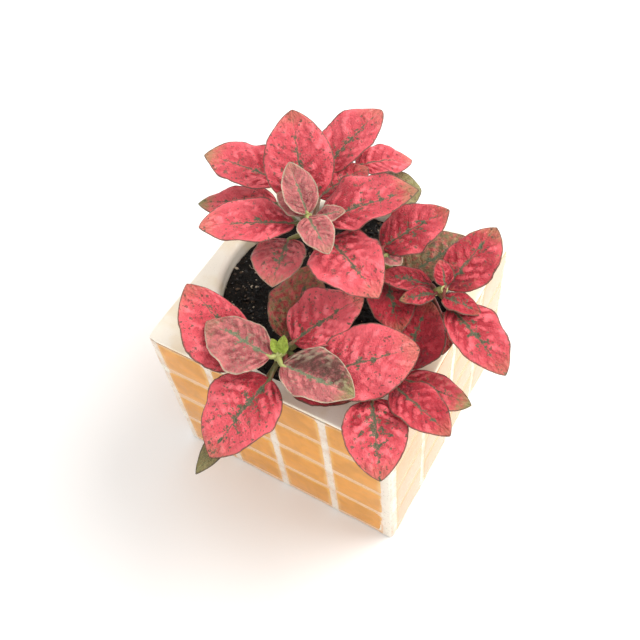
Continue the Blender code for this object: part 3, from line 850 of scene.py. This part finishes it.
def make_grout(settings):
    straight = GROUT_OUTER - GROUT_CORNER
    half = straight + GROUT_CORNER * math.pi / 4
    column_edges = [centre + sign * TILE_WIDTH / 2 for centre in TILE_COLUMNS for sign in (-1, 1)]
    row_edges = [centre + sign * TILE_HEIGHT / 2 for centre in TILE_ROWS for sign in (-1, 1)]
    arcs = crowded_lines(-half, half, column_edges + [-half, half])
    heights = crowded_lines(GROUT_BOTTOM, TILE_TOP, row_edges)
    round_steps = len(SIDES) * (len(arcs) - 1)
    bm = bmesh.new()
    layer = bm.verts.layers.float_vector.new("grout_look")
    bmesh.ops.create_grid(bm, x_segments=round_steps, y_segments=len(heights) - 1, size=0.5)
    for vert in bm.verts:
        step = round((vert.co.x + 0.5) * round_steps) % round_steps
        side, index = divmod(step, len(arcs) - 1)
        along = arcs[index]
        height = heights[round((vert.co.y + 0.5) * (len(heights) - 1))]
        turn = max(abs(along) - straight, 0.0) / GROUT_CORNER
        out = Vector((math.copysign(math.sin(turn), along), -math.cos(turn), 0.0))
        place = Vector((min(max(along, -straight), straight), -straight, height))
        level, vert[layer] = grout_level(along, height, side, settings.smear)
        place += out * (GROUT_CORNER + level)
        place.rotate(Matrix.Rotation(side * math.pi / 2, 3, "Z"))
        vert.co = place
    bmesh.ops.remove_doubles(bm, verts=bm.verts, dist=TINY)
    rims = [edge for edge in bm.edges if edge.is_boundary]
    grown = bmesh.ops.extrude_edge_only(bm, edges=rims)["geom"]
    for vert in grown:
        if isinstance(vert, bmesh.types.BMVert):
            widest = max(abs(vert.co.x), abs(vert.co.y))
            vert.co.x *= GROUT_INNER / widest
            vert.co.y *= GROUT_INNER / widest
    loops = [edge for edge in grown if isinstance(edge, bmesh.types.BMEdge) and edge.is_boundary]
    bmesh.ops.bridge_loops(bm, edges=loops)
    cleaned(bm)
    material = grout_material(settings.grout[:], settings.grout_stain[:])
    add_piece("grout_lattice", bm, material, node="grout")


# ---------------------------------------------------------------- soil


def soil_height(place, relief):
    """Height of the soil's surface: lumps, clods and grain, drawn down a little at the planter's wall."""
    spot = Vector((place.x, place.y, 0.0))
    lumps = noise.noise(spot * 110) * 0.6 + noise.noise(spot * 290) * 0.5
    clods = abs(noise.noise(spot * 620)) * 0.75 + abs(noise.noise(spot * 1500)) * 0.35 - 0.3
    wall = smooth_step(SOIL_RADIUS * 0.9, SOIL_RADIUS, spot.length)
    return SOIL_LEVEL + relief * (lumps + clods) * (1 - 0.4 * wall) - 0.3 * MM * wall


def peat_material(peat, bark):
    """Damp peat, almost black, with brown crumbs and the odd wet glint."""
    s = Shading("potting_peat")
    place = s.place()
    clods = s.noise(place, 700.0, detail=6.0, roughness=0.7)
    grain = s.noise(place, 3200.0, detail=3.0, roughness=0.7)
    colour = s.mix(s.ramp(clods, 0.45, 0.72), peat, tinted(bark, (0.12,) * 3))
    colour = s.mix(s.ramp(grain, 0.64, 0.74, 0.0, 0.6), colour, bark)
    s.set(
        base_color=colour,
        roughness=s.ramp(grain, 0.35, 0.6, 0.45, 0.9),
        specular_ior_level=0.25,
        normal=s.bump(clods + grain * 0.6, 0.5 * MM),
    )
    return s.material


def litter_material(name, peat, bark):
    """Loose crumbs and fibres, each from near black through brown to pale straw."""
    s = Shading(name)
    tone, wet, _ = s.split(s.attribute("litter_tone"))
    grain = s.noise(s.place(), 2600.0, detail=4.0, roughness=0.7)
    brown = s.mix(s.ramp(tone + (grain - 0.5) * 0.4, 0.75, 1.0), tinted(peat, (1.3,) * 3), bark)
    colour = s.mix(s.ramp(tone, 0.93, 0.95), brown, (0.48, 0.41, 0.30))
    s.set(base_color=colour, roughness=s.ramp(wet, 0.55, 0.85, 0.85, 0.15), normal=s.bump(grain, 0.12 * MM))
    return s.material


def make_soil(settings):
    side = SOIL_RADIUS
    profile = (
        line((0.0, SOIL_LEVEL), (side, SOIL_LEVEL), SOIL_RINGS)
        + line((side, SOIL_LEVEL), (side, SOIL_BOTTOM + CAVITY_CORNER), 6)
        + arc((side - CAVITY_CORNER, SOIL_BOTTOM + CAVITY_CORNER), CAVITY_CORNER, 0, -90, 3)
        + [(0.0, SOIL_BOTTOM)]
    )
    bm = turned(profile, SOIL_STEPS)
    for vert in bm.verts:
        if vert.co.z > SOIL_LEVEL - 0.1 * MM:
            vert.co.z = soil_height(vert.co, settings.relief)
    material = peat_material(settings.peat[:], settings.bark[:])
    add_piece("potting_soil", bm, material, node="soil", smooth_angle=70)


def soil_spot(draw, margin):
    """A random spot on the soil, clear of the wall by a margin."""
    reach = (SOIL_RADIUS - margin) * math.sqrt(draw.random())
    angle = draw.uniform(0, 2 * math.pi)
    return Vector((reach * math.cos(angle), reach * math.sin(angle), 0.0))


def make_litter(settings):
    draw = random.Random("litter")
    bm = bmesh.new()
    layer = bm.verts.layers.float_vector.new("litter_tone")
    for _ in range(settings.crumbs):
        size = 0.16 * MM + 0.5 * MM * draw.random() ** 3
        spot = soil_spot(draw, size)
        spot.z = soil_height(spot, settings.relief) + size * draw.uniform(-0.1, 0.6)
        turn = Matrix.Rotation(draw.uniform(0, math.pi), 4, (draw.random(), draw.random(), 0.3))
        wide, deep = size * draw.uniform(0.7, 1.3), size * draw.uniform(0.5, 1.0)
        shape = Matrix.Diagonal((wide, deep, size * 0.6, 1.0))
        matrix = Matrix.Translation(spot) @ turn @ shape
        detail = 2 if size > 0.5 * MM else 1
        verts = bmesh.ops.create_icosphere(bm, subdivisions=detail, radius=1.0, matrix=matrix)["verts"]
        tone = (draw.random(), draw.random(), 0.0)
        for vert in verts:
            vert.co += (vert.co - spot) * 0.8 * noise.noise(vert.co * (0.9 / size))
            vert[layer] = tone
    material = litter_material("soil_crumbs", settings.peat[:], settings.bark[:])
    add_piece("soil_crumbs", bm, material, smooth_angle=30)

    bm = bmesh.new()
    layer = bm.verts.layers.float_vector.new("litter_tone")
    for _ in range(settings.fibres):
        spot = soil_spot(draw, 4 * MM)
        heading = draw.uniform(0, 2 * math.pi)
        step = draw.uniform(0.35, 0.9) * MM
        path = []
        for index in range(7):
            point = spot.copy()
            point.z = soil_height(point, settings.relief) + (0.25 + 0.25 * math.sin(index)) * MM
            path.append(point)
            heading += draw.uniform(-0.5, 0.5)
            spot += Vector((math.cos(heading), math.sin(heading), 0.0)) * step
        thick = draw.uniform(0.07, 0.14) * MM
        tone = (draw.uniform(0.4, 1.0), draw.random(), 0.0)
        for ring in sweep(bm, path, [thick] * len(path), 5):
            for vert in ring:
                vert[layer] = tone
    bmesh.ops.recalc_face_normals(bm, faces=bm.faces)
    material = litter_material("soil_fibres", settings.peat[:], settings.bark[:])
    add_piece("soil_fibres", bm, material)


# ---------------------------------------------------------------- stems


def stem_curve(shoot):
    """A function of the share 0..1 that follows the stem from the soil to its crown."""
    foot = Vector((*shoot["foot"], SOIL_LEVEL / MM))
    crown = Vector(shoot["crown"])
    bend = Vector((*foot.xy.lerp(crown.xy, STEM_BEND), (foot.z + crown.z) / 2))

    def point(share):
        rest = 1.0 - share
        return (rest * rest * foot + 2 * rest * share * bend + share * share * crown) * MM

    return point


def outline(t, widest):
    """Half-width of a blade, as a share of its widest, at the share t of its length."""
    base = OUTLINE_POWER * widest
    tip = OUTLINE_POWER - base
    return t**base * (1 - t) ** tip / (widest**base * (1 - widest) ** tip)


class Blade:
    """One leaf's blade: maps (t, v), its shares along and across, to a place."""

    def __init__(self, leaf, index, shoot_name):
        self.leaf = leaf
        self.start = Vector(leaf.start) * MM
        self.length = leaf.length * MM
        self.phase = WAVE_TURN * index
        self.seed = random.Random(f"{shoot_name} {index}").uniform(0, 90)
        heading = math.radians(leaf.heading)
        self.ahead = Vector((math.cos(heading), math.sin(heading), 0.0))
        self.side = Vector((-self.ahead.y, self.ahead.x, 0.0))
        self.veins = YOUNG_VEINS if leaf.young > YOUNG_FROM else VEINS
        self.grown = min(leaf.width / FULL_WIDTH, 1.0)

    def midrib(self, t):
        """Place and pitch of the midrib, an arc that falls by the curl over its length."""
        start_pitch = self.leaf.rise + self.leaf.curl / 2
        pitch = math.radians(start_pitch - self.leaf.curl * t)
        half_way = math.radians(start_pitch - self.leaf.curl * t / 2)
        along = self.ahead * math.cos(half_way) + Vector((0, 0, math.sin(half_way)))
        return self.start + along * self.length * t, pitch

    def axes(self, pitch):
        """The directions across the blade and up from it."""
        normal = Vector((0, 0, math.cos(pitch))) - self.ahead * math.sin(pitch)
        roll = math.radians(self.leaf.roll)
        across = self.side * math.cos(roll) + normal * math.sin(roll)
        return across, normal * math.cos(roll) - self.side * math.sin(roll)

    def half_width(self, t, v):
        half = self.leaf.width / 2 * MM * outline(t, self.leaf.widest) * (1 + self.leaf.lean * v)
        ragged = 0.045 * noise.noise((t * 7, math.copysign(3.0, v), self.seed))
        ragged += 0.02 * noise.noise((t * 21, math.copysign(3.0, v), self.seed))
        return max(half * (1 + ragged), OUTLINE_END)

    def vein_phase(self, t, v):
        """Counts the side veins: a whole number on each, as they leave the midrib and curve to the tip."""
        return self.veins * (t - VEIN_SWEEP * abs(v) ** 1.4) + (0.5 if v < 0 else 0.0) * VEIN_STAGGER

    def raised(self, t, v):
        """How far the skin swells between the veins, 0 in a crease and about 1 at its highest."""
        phase = self.vein_phase(t, v) + 0.35 * noise.noise((t * 5, v * 1.3, self.seed + 1))
        swell = (0.5 - 0.5 * math.cos(2 * math.pi * phase)) ** 0.8
        uneven = min(max(0.5 + 1.1 * noise.noise((phase * 0.9, v * 2.2, self.seed + 9)), 0.0), 1.0)
        spot = (t * self.leaf.length / QUILT_LENGTH, v * self.leaf.width / 2 / QUILT_WIDTH, self.seed)
        distances = noise.voronoi(spot)[0]
        quilt = smooth_step(0.0, 0.5, distances[1] - distances[0])
        return 0.55 * swell * (0.25 + 0.75 * uneven) + 0.5 * quilt * (0.4 + 0.6 * uneven)

    def relief(self, t, v):
        """Height of the puckered skin over the smooth blade, in shares of the deepest pucker."""
        body = smooth_step(0.0, 0.22, abs(v)) * (1 - 0.75 * abs(v) ** 4)
        body *= smooth_step(0.0, 0.15, min(t, 1 - t))
        creases = noise.noise((t * 9, v * 4.0, self.seed + 2)) + 0.5 * noise.noise((t * 19, v * 9, self.seed))
        return body * (1.25 - 0.5 * t) * (self.raised(t, v) + (0.3 + 0.4 * self.leaf.young) * creases)

    def point(self, t, v, pucker):
        place, pitch = self.midrib(t)
        across, up = self.axes(pitch)
        half = self.half_width(t, v)
        wave = WAVE * math.sin(2 * math.pi * WAVES * t + self.phase + v)
        ruffle = RUFFLE * noise.noise((t * 6, v * 1.5, self.seed + 5)) * abs(v) ** 3
        fold = math.sqrt(v * v + FOLD_SOFTNESS**2) - FOLD_SOFTNESS
        lift = (self.leaf.fold * fold + (wave - ARCH + ruffle) * v * v) * half
        lift += pucker * self.grown * self.relief(t, v)
        lift -= GROOVE * self.grown * math.exp(-((v * half / (0.45 * MM)) ** 2)) * (1 - t)
        return place + across * (v * half) + up * lift


def petiole_path(stem, blade):
    """From inside the stem, in an arch, to the blade's base."""
    root = stem(blade.leaf.node)
    start = blade.start
    span = (start - root).length
    points = []
    for index in range(PETIOLE_POINTS):
        share = index / (PETIOLE_POINTS - 1)
        point = root.lerp(start, share)
        point.z += PETIOLE_ARCH * span * math.sin(math.pi * share)
        points.append(point)
    return points


def midrib_path(blade, radius):
    """Under the blade from its base to near its tip, sunk by half into it."""
    points = []
    for index in range(1, RIDGE_POINTS):
        t = 0.94 * index / (RIDGE_POINTS - 1)
        place, pitch = blade.midrib(t)
        points.append(place - blade.axes(pitch)[1] * (radius * 0.5 * (1 - t) + 0.1 * MM))
    return points


def stem_material():
    """Juicy stems: fresh green at the crowns, flushed red and brown lower down, finely mottled."""
    s = Shading("plant_stems")
    fresh, flush, _ = s.split(s.attribute("stem_look"))
    place = s.place()
    mottled = s.noise(place, 420.0, detail=4.0)
    fine = s.noise(place, 2200.0, detail=2.0)
    green = s.mix(s.ramp(fresh + (mottled - 0.5) * 0.5, 0.3, 0.9), (0.1, 0.11, 0.035), (0.4, 0.42, 0.14))
    red = s.mix(mottled, (0.16, 0.02, 0.025), (0.30, 0.07, 0.05))
    colour = s.mix(s.ramp(flush + (mottled - 0.5) * 0.9, 0.35, 0.8), green, red)
    s.set(
        base_color=colour,
        roughness=s.ramp(fine, 0.3, 0.7, 0.36, 0.52),
        subsurface_weight=0.08,
        subsurface_radius=(0.6, 0.35, 0.15),
        subsurface_scale=0.8 * MM,
        normal=s.bump(mottled + fine * 0.5, 0.12 * MM),
    )
    return s.material


def make_stems():
    material = stem_material()
    for name, shoot in SHOOTS.items():
        stem = stem_curve(shoot)
        bm = bmesh.new()
        layer = bm.verts.layers.float_vector.new("stem_look")
        nodes = sorted({leaf.node for leaf in shoot["leaves"]})
        shares = [index / (STEM_POINTS - 1) for index in range(STEM_POINTS)]
        path = [stem(0.0) - Vector((0, 0, STEM_FOOT))] + [stem(share) for share in shares]
        radii = [STEM_RADIUS]
        for share in shares:
            taper = 1 + (STEM_TIP_SHARE - 1) * share
            swelling = sum(math.exp(-(((share - node) / 0.018) ** 2)) for node in nodes)
            radii.append(STEM_RADIUS * taper * (0.92 + 0.2 * min(swelling, 1.0)))
        for index, ring in enumerate(sweep(bm, path, radii, STEM_SIDES)):
            share = index / (len(path) - 1)
            for vert in ring:
                vert[layer] = (share, 0.75 - 0.6 * share, 0.0)
        for index, leaf in enumerate(shoot["leaves"]):
            blade = Blade(leaf, index, name)
            small = SMALL_PETIOLE if blade.length < SMALL_BLADE else 1.0
            radius = PETIOLE_RADIUS * small
            stalk = petiole_path(stem, blade)
            ridge = midrib_path(blade, radius)
            radii = [radius * (1.25 - 0.45 * index / (len(stalk) - 1)) for index in range(len(stalk))]
            radii[0] *= 1.15
            radii += [
                radius * (0.78 - 0.66 * (index / len(ridge)) ** 0.7) for index in range(1, len(ridge) + 1)
            ]
            rings = sweep(bm, stalk + ridge, radii, PETIOLE_SIDES)
            for index, ring in enumerate(rings):
                share = index / (len(rings) - 1)
                fresh = 0.1 + 0.35 * leaf.node + 0.35 * leaf.young + 0.2 * leaf.green
                flush = 0.3 + 0.5 * leaf.deep - 0.35 * leaf.young + 0.25 * share
                for vert in ring:
                    vert[layer] = (fresh, flush, 0.0)
        bmesh.ops.recalc_face_normals(bm, faces=bm.faces)
        add_piece(f"stems_{name[6:]}", bm, material)


# ---------------------------------------------------------------- leaves


def leaf_material(settings):
    """Coral skin with painted highlights and deep red creases, partly painted shade; a ragged green midrib,
    dark specks and a thin dark edge.
    """
    s = Shading("polka_dot_leaf_skin")
    place = s.attribute("blade_place")
    t, v, phase = s.split(s.attribute("blade_growth"))
    deep, green, young = s.split(s.attribute("leaf_look"))
    spots, rib, tip = s.split(s.attribute("leaf_marks"))
    upper, vein_gap, half_width = s.split(s.attribute("blade_measure"))
    _, _, seed = s.split(place)

    wander = s.vector("SUBTRACT", s.noise(place, 0.6, detail=3.0, colour=True), (0.5, 0.5, 0.5))
    warped = s.vector("ADD", place, s.vector("SCALE", wander, 1.6))
    broad = s.noise(place, 0.2, detail=2.0) - 0.5
    patchy = s.noise(place, 0.75, detail=4.0, roughness=0.6) - 0.5
    fine = s.noise(place, 2.6, detail=4.0, roughness=0.65) - 0.5
    _, across, _ = s.split(warped)
    off_rib = abs(across)
    off_middle = abs(v)

    # side veins, and dark creases between the swellings that come and go, partly deeper red skin and partly
    # painted shade
    shifted = phase + patchy * 0.35
    off_vein = abs(s.math("FRACT", shifted + 0.5) - 0.5) * vein_gap
    fade = s.ramp(off_middle, 0.5, 0.95, 1.0, 0.0)
    vein = s.ramp(off_vein, 0.03, 0.3, 1.0, 0.0) * fade
    along_vein = s.join(shifted * vein_gap, across * 0.45, seed)
    streaks = s.noise(along_vein, 0.75, detail=3.0, roughness=0.6)
    near_base = s.ramp(t + broad * 0.9, 0.1, 0.8, 1.0, 0.2)
    raised, _, _ = s.split(s.attribute("blade_relief"))
    sunk = raised + patchy * 0.9 + fine * 0.8
    fold = s.ramp(sunk, 0.1, 0.5, 1.0, 0.0) * s.ramp(off_rib, 0.2, 0.9)
    fold = fold * s.ramp(off_middle, 0.6, 0.98, 1.0, 0.15)
    crease = (fold * 0.85 + s.ramp(streaks, 0.36, 0.47, 0.35, 0.0)) * near_base

    depth = deep + broad * 1.1 + (crease * 0.95 + vein * 0.06)
    # darker towards each blade's base and its midrib
    depth = depth + (s.ramp(t, 0.0, 0.3, 0.4, 0.0) + s.ramp(off_rib, 0.0, 1.6, 0.12, 0.0))
    colour = s.mix(s.ramp(depth, 0.0, 1.1), settings.coral[:], settings.deep_red_and_shade[:])
    # painted highlight: the raised swellings turn pink
    lit = s.ramp(raised + patchy * 0.5, 0.35, 0.8, 0.0, 0.55) * s.ramp(depth, 0.0, 0.7, 1.0, 0.0)
    colour = s.mix(lit, colour, settings.pink[:])
    colour = s.mix(s.ramp(fine, 0.04, 0.2, 0.0, 0.17), colour, settings.deep_red_and_shade[:])
    # the deepest parts turn wine red, partly the skin's own colour and partly painted shade
    colour = s.mix(s.ramp(depth, 0.95, 1.6) * 0.75, colour, WINE_AND_SHADE)

    # young leaves: dusty pink and wrinkled, the wrinkles wine red, partly their own colour and partly painted
    # shade
    pale_young = tuple(min(channel * 1.3, 1.0) for channel in settings.young)
    dusty = s.mix(s.ramp(streaks, 0.38, 0.62), settings.young[:], pale_young)
    wrinkle_shade = s.math("MAXIMUM", s.ramp(streaks + fine * 0.4, 0.3, 0.45, 0.8, 0.0), crease)
    dusty = s.mix(wrinkle_shade * 0.75, dusty, WINE_AND_SHADE)
    dusty = s.mix(s.ramp(fine + patchy * 0.5, 0.03, 0.16, 0.0, 0.6), dusty, GREY_GREEN)
    youth = s.ramp(young + patchy * 0.3, 0.25, 0.75)
    colour = s.mix(youth, colour, dusty)

    # greener parts, brown-green on young leaves, and buds all bright green
    grown = s.ramp(green, 1.2, 1.8, 1.0, 0.0)
    greening = s.ramp(green * 1.15 + patchy * 1.3, 0.3, 0.85)
    fresh_green = s.mix(s.ramp(fine, -0.1, 0.15), LEAF_GREEN, OLIVE)
    fresh_green = s.mix(
        youth, fresh_green, s.mix(s.ramp(raised + patchy * 0.7, 0.25, 0.75), BROWN_GREEN, GREY_GREEN)
    )
    fresh_green = s.mix(grown, BUD_GREEN, fresh_green)
    colour = s.mix(greening * 0.9, colour, fresh_green)
    tip_share = s.ramp(t + patchy * 0.3, 0.72, 1.0) * tip
    colour = s.mix(tip_share, colour, OLIVE)

    # dark specks of three sizes
    specks = None
    for scale, widest, share, weight in SPECK_SIZES:
        distance, cell = s.cells(warped, scale)
        chance, size, _ = s.split(cell)
        likely = spots * share + (crease * 0.15 + broad * 0.8)
        shown = s.math("LESS_THAN", chance, likely)
        rim = size * widest + (fine * 1.5 + patchy * 0.4)
        speck = s.ramp(distance - rim, -0.12, 0.12, weight, 0.0) * shown
        specks = speck if specks is None else s.math("MAXIMUM", specks, speck)
    dark = s.mix(s.ramp(patchy + rib, 0.2, 0.75), SPECK_BROWN, settings.vein_green[:])
    colour = s.mix(specks * s.ramp(young, 0.4, 0.9, 0.82, 0.4), colour, dark)

    # green along the midrib, with ragged spurs out along the side veins
    spread = s.ramp(t, 0.05, 0.4) * s.ramp(t, 0.5, 0.85, 1.0, 0.0)
    spurs = s.ramp(off_vein, 0.0, 0.9, 1.0, 0.0) * s.ramp(patchy + fine, -0.05, 0.15, 0.0, 2.4)
    patch = patchy * 9.0 + 0.25 + (fine * 5.0 + spurs)
    reach = s.math("MAXIMUM", patch * rib, 0.0) * (spread * 0.9 + 0.1)
    blotch = s.ramp(off_rib - reach, -0.05, 0.2, 1.0, 0.0)
    line_width = s.ramp(t, 0.0, 0.9, 0.42, 0.12)
    line_mask = s.ramp(off_rib - line_width, -0.15, 0.08, 1.0, 0.0)
    line_mask = line_mask * s.ramp(t + patchy * 0.5, 0.55, 0.95, 0.9, 0.15)
    marks = s.math("MAXIMUM", blotch * s.ramp(reach, 0.0, 0.2), line_mask)
    marks = marks * grown
    green_skin = s.mix(s.ramp(fine, -0.12, 0.15), settings.vein_green[:], VEIN_GREY)
    green_skin = s.mix(youth * 0.3, green_skin, PALE_VEIN)
    colour = s.mix(marks * 0.95, colour, green_skin)

    off_edge = (1.0 - off_middle) * half_width
    edge = s.ramp(off_edge + patchy * 0.6, 0.08, 0.5, 0.9, 0.0) * grown
    colour = s.mix(edge, colour, s.mix(youth, EDGE_GREEN, PALE_EDGE))

    below = s.mix(0.55, colour, UNDERSIDE)
    below = s.mix(vein * 0.6, below, GREY_GREEN)
    colour = s.mix(s.ramp(upper, 0.35, 0.65), below, colour)

    veinlets, _ = s.cells(warped, 1.6, feature="DISTANCE_TO_EDGE")
    height = s.ramp(veinlets, 0.0, 0.25) * 0.5 + (fine * 1.2 + vein * -0.4)
    height = height + (streaks * 2.0 + fold * -0.8)
    s.set(
        base_color=colour,
        roughness=s.ramp(patchy, -0.2, 0.2, 0.36, 0.5),
        specular_ior_level=0.4,
        subsurface_weight=0.12,
        subsurface_radius=(1.0, 0.35, 0.3),
        subsurface_scale=0.5 * MM,
        normal=s.bump(height, 0.2 * MM),
    )
    return s.material


def add_leaf(bm, layers, blade, settings):
    """One blade: a waved and puckered sheet, given thickness that thins towards its edge."""
    small = blade.length < SMALL_BLADE
    steps, across = (LEAF_STEPS // 2, LEAF_ACROSS // 2) if small else (LEAF_STEPS, LEAF_ACROSS)
    leaf = blade.leaf
    sheet = bmesh.ops.create_grid(bm, x_segments=steps, y_segments=across, size=0.5)["verts"]
    for vert in sheet:
        u = vert.co.x + 0.5
        t = min(max(u - BLADE_CROWDING * math.sin(2 * math.pi * u), 0.0), 1.0)
        v = 2 * vert.co.y
        v = math.copysign(abs(v) ** 1.12, v)
        half = blade.half_width(t, v)
        gap = blade.length / MM / blade.veins * VEIN_GAP_SHARE
        vert[layers["blade_place"]] = (t * leaf.length, v * half / MM, blade.seed)
        vert[layers["blade_growth"]] = (t, v, blade.vein_phase(t, v))
        left = leaf.split * smooth_step(-0.15, 0.15, v)
        vert[layers["leaf_look"]] = (leaf.deep, leaf.green + left, leaf.young)
        vert[layers["leaf_marks"]] = (leaf.spots, leaf.rib, leaf.tip)
        vert[layers["blade_measure"]] = (0.0, gap, half / MM)
        vert[layers["blade_relief"]] = (blade.raised(t, v), 0.0, 0.0)
        vert.co = blade.point(t, v, settings.pucker)
    faces = list({face for vert in sheet for face in vert.link_faces})
    bmesh.ops.recalc_face_normals(bm, faces=faces)
    for face in faces:
        face.normal_update()
    if sum(face.normal.dot(blade.axes(blade.midrib(0.5)[1])[1]) for face in faces) < 0:
        bmesh.ops.reverse_faces(bm, faces=faces)
    for vert in sheet:
        vert.normal_update()
    ups = {vert: vert.normal.copy() for vert in sheet}
    thick = settings.blade * (SMALL_THICKNESS if small else 1.0)
    grown = bmesh.ops.extrude_face_region(bm, geom=faces, use_keep_orig=True)["geom"]
    tops = [part for part in grown if isinstance(part, bmesh.types.BMVert)]
    for vert in tops:
        _, gap, half = vert[layers["blade_measure"]]
        vert[layers["blade_measure"]] = (1.0, gap, half)
        vert.normal_update()
    for vert in sheet:
        t, v, _ = vert[layers["blade_growth"]]
        vert.co -= ups[vert] * thick / 2 * (1 - EDGE_THINNING * v * v)
    for vert in tops:
        t, v, _ = vert[layers["blade_growth"]]
        up = blade.axes(blade.midrib(t)[1])[1]
        vert.co += (up if vert.normal.dot(up) <= 0 else vert.normal) * thick / 2 * (1 - EDGE_THINNING * v * v)


def make_leaves(settings):
    material = leaf_material(settings)
    names = ("blade_place", "blade_growth", "blade_relief", "leaf_look", "leaf_marks", "blade_measure")
    for name, shoot in SHOOTS.items():
        bm = bmesh.new()
        layers = {layer: bm.verts.layers.float_vector.new(layer) for layer in names}
        for index, leaf in enumerate(shoot["leaves"]):
            add_leaf(bm, layers, Blade(leaf, index, name), settings)
        bmesh.ops.recalc_face_normals(bm, faces=bm.faces)
        add_piece(f"leaves_{name[6:]}", bm, material, node=name, smooth_angle=75)


# ---------------------------------------------------------------- stage


def floor_material(colour):
    s = Shading("studio_floor")
    mottled = s.noise(s.place(), 6.0, detail=3.0)
    tone = s.mix(mottled, colour, tinted(colour, (0.985,) * 3))
    s.set(base_color=tone, roughness=0.7, normal=s.bump(s.noise(s.place(), 900.0), 0.02 * MM))
    return s.material


def make_stage(settings):
    bm = bmesh.new()
    bmesh.ops.create_grid(bm, x_segments=8, y_segments=8, size=FLOOR_HALF)
    mesh = bpy.data.meshes.new("floor")
    bm.to_mesh(mesh)
    bm.free()
    mesh.materials.append(floor_material(settings.floor[:]))
    floor = bpy.data.objects.new("floor", mesh)
    bpy.context.scene.collection.objects.link(floor)

    scene = bpy.context.scene
    world = bpy.data.worlds.new("studio_sky")
    world.use_nodes = True
    background = world.node_tree.nodes["Background"]
    background.inputs["Color"].default_value = (1.0, 0.99, 0.975, 1.0)
    background.inputs["Strength"].default_value = settings.sky
    scene.world = world
    scene.view_settings.view_transform = "Standard"

    lamp = bpy.data.lights.new("key_light", "AREA")
    lamp.shape = "DISK"
    lamp.size = KEY_SIZE
    lamp.energy = settings.key
    lamp.color = (1.0, 0.98, 0.95)
    key = bpy.data.objects.new("key_light", lamp)
    scene.collection.objects.link(key)
    key.location = KEY_PLACE
    key.rotation_euler = (-Vector(KEY_PLACE)).to_track_quat("-Z", "Y").to_euler()

    turn, rise, tip = (math.radians(angle) for angle in (CAMERA_TURN, CAMERA_RISE, CAMERA_TIP))
    back = Vector((math.sin(turn) * math.cos(rise), -math.cos(turn) * math.cos(rise), math.sin(rise)))
    right = (-back).cross(Vector((0, 0, 1))).normalized()
    up = right.cross(-back)
    tipped_right = right * math.cos(tip) + up * math.sin(tip)
    tipped_up = up * math.cos(tip) - right * math.sin(tip)
    camera = bpy.data.objects.new("camera", bpy.data.cameras.new("camera"))
    scene.collection.objects.link(camera)
    axes = Matrix((tipped_right, tipped_up, back)).transposed()
    camera.matrix_world = Matrix.Translation(CAMERA_PLACE) @ axes.to_4x4()
    camera.data.sensor_width = 36.0
    camera.data.lens = CAMERA_LENS
    camera.data.clip_start, camera.data.clip_end = 0.01, 10.0
    scene.camera = camera


# ---------------------------------------------------------------- operators


class PLANT_OT_planter_body(bpy.types.Operator):
    """Make the planter's plaster body, with its flat rim and rounded mouth"""

    bl_idname = "plant.planter_body"
    bl_label = "Planter body"

    def execute(self, context):
        make_planter_body(context.scene.planter_settings)
        return {"FINISHED"}


class PLANT_OT_tiles(bpy.types.Operator):
    """Make the four sheets of glazed tiles"""

    bl_idname = "plant.tiles"
    bl_label = "Glazed tiles"

    def execute(self, context):
        make_tiles(context.scene.planter_settings)
        return {"FINISHED"}


class PLANT_OT_grout(bpy.types.Operator):
    """Make the grout in the joints, with its smears over the tiles"""

    bl_idname = "plant.grout"
    bl_label = "Grout"

    def execute(self, context):
        make_grout(context.scene.planter_settings)
        return {"FINISHED"}


class PLANT_OT_soil(bpy.types.Operator):
    """Make the potting soil that fills the planter"""

    bl_idname = "plant.soil"
    bl_label = "Potting soil"

    def execute(self, context):
        make_soil(context.scene.soil_settings)
        return {"FINISHED"}


class PLANT_OT_litter(bpy.types.Operator):
    """Scatter loose crumbs and root fibres on the soil"""

    bl_idname = "plant.litter"
    bl_label = "Crumbs and fibres"

    def execute(self, context):
        make_litter(context.scene.soil_settings)
        return {"FINISHED"}


class PLANT_OT_stems(bpy.types.Operator):
    """Make the five stems with their leaf stalks and midribs"""

    bl_idname = "plant.stems"
    bl_label = "Stems"

    def execute(self, context):
        make_stems()
        return {"FINISHED"}


class PLANT_OT_leaves(bpy.types.Operator):
    """Make the leaf blades of the five shoots"""

    bl_idname = "plant.leaves"
    bl_label = "Leaves"

    def execute(self, context):
        make_leaves(context.scene.foliage_settings)
        return {"FINISHED"}


class PLANT_OT_stage(bpy.types.Operator):
    """Set up the floor, the light and the camera"""

    bl_idname = "plant.stage"
    bl_label = "Stage"

    def execute(self, context):
        make_stage(context.scene.stage_settings)
        return {"FINISHED"}


OPERATORS = (
    PLANT_OT_planter_body,
    PLANT_OT_tiles,
    PLANT_OT_grout,
    PLANT_OT_soil,
    PLANT_OT_litter,
    PLANT_OT_stems,
    PLANT_OT_leaves,
    PLANT_OT_stage,
)


class PLANT_PT_panel(bpy.types.Panel):
    """Steps that make the plant, and their settings"""

    bl_idname = "PLANT_PT_panel"
    bl_label = "Potted plant"
    bl_space_type = "VIEW_3D"
    bl_region_type = "UI"
    bl_category = "Plant"

    def draw(self, context):
        for operator in OPERATORS:
            self.layout.operator(operator.bl_idname)
        for name, group in SETTINGS.items():
            box = self.layout.box()
            for field in group.__annotations__:
                box.prop(getattr(context.scene, name), field)


SETTINGS = {
    "planter_settings": PlanterSettings,
    "soil_settings": SoilSettings,
    "foliage_settings": FoliageSettings,
    "stage_settings": StageSettings,
}


def register():
    for each in (*SETTINGS.values(), *OPERATORS, PLANT_PT_panel):
        bpy.utils.register_class(each)
    for name, group in SETTINGS.items():
        setattr(bpy.types.Scene, name, PointerProperty(type=group))


def unregister():
    for name in SETTINGS:
        delattr(bpy.types.Scene, name)
    for each in reversed((*SETTINGS.values(), *OPERATORS, PLANT_PT_panel)):
        bpy.utils.unregister_class(each)


def main():
    register()
    for operator in OPERATORS:
        group, step = operator.bl_idname.split(".")
        getattr(getattr(bpy.ops, group), step)()


if __name__ == "__main__":
    main()
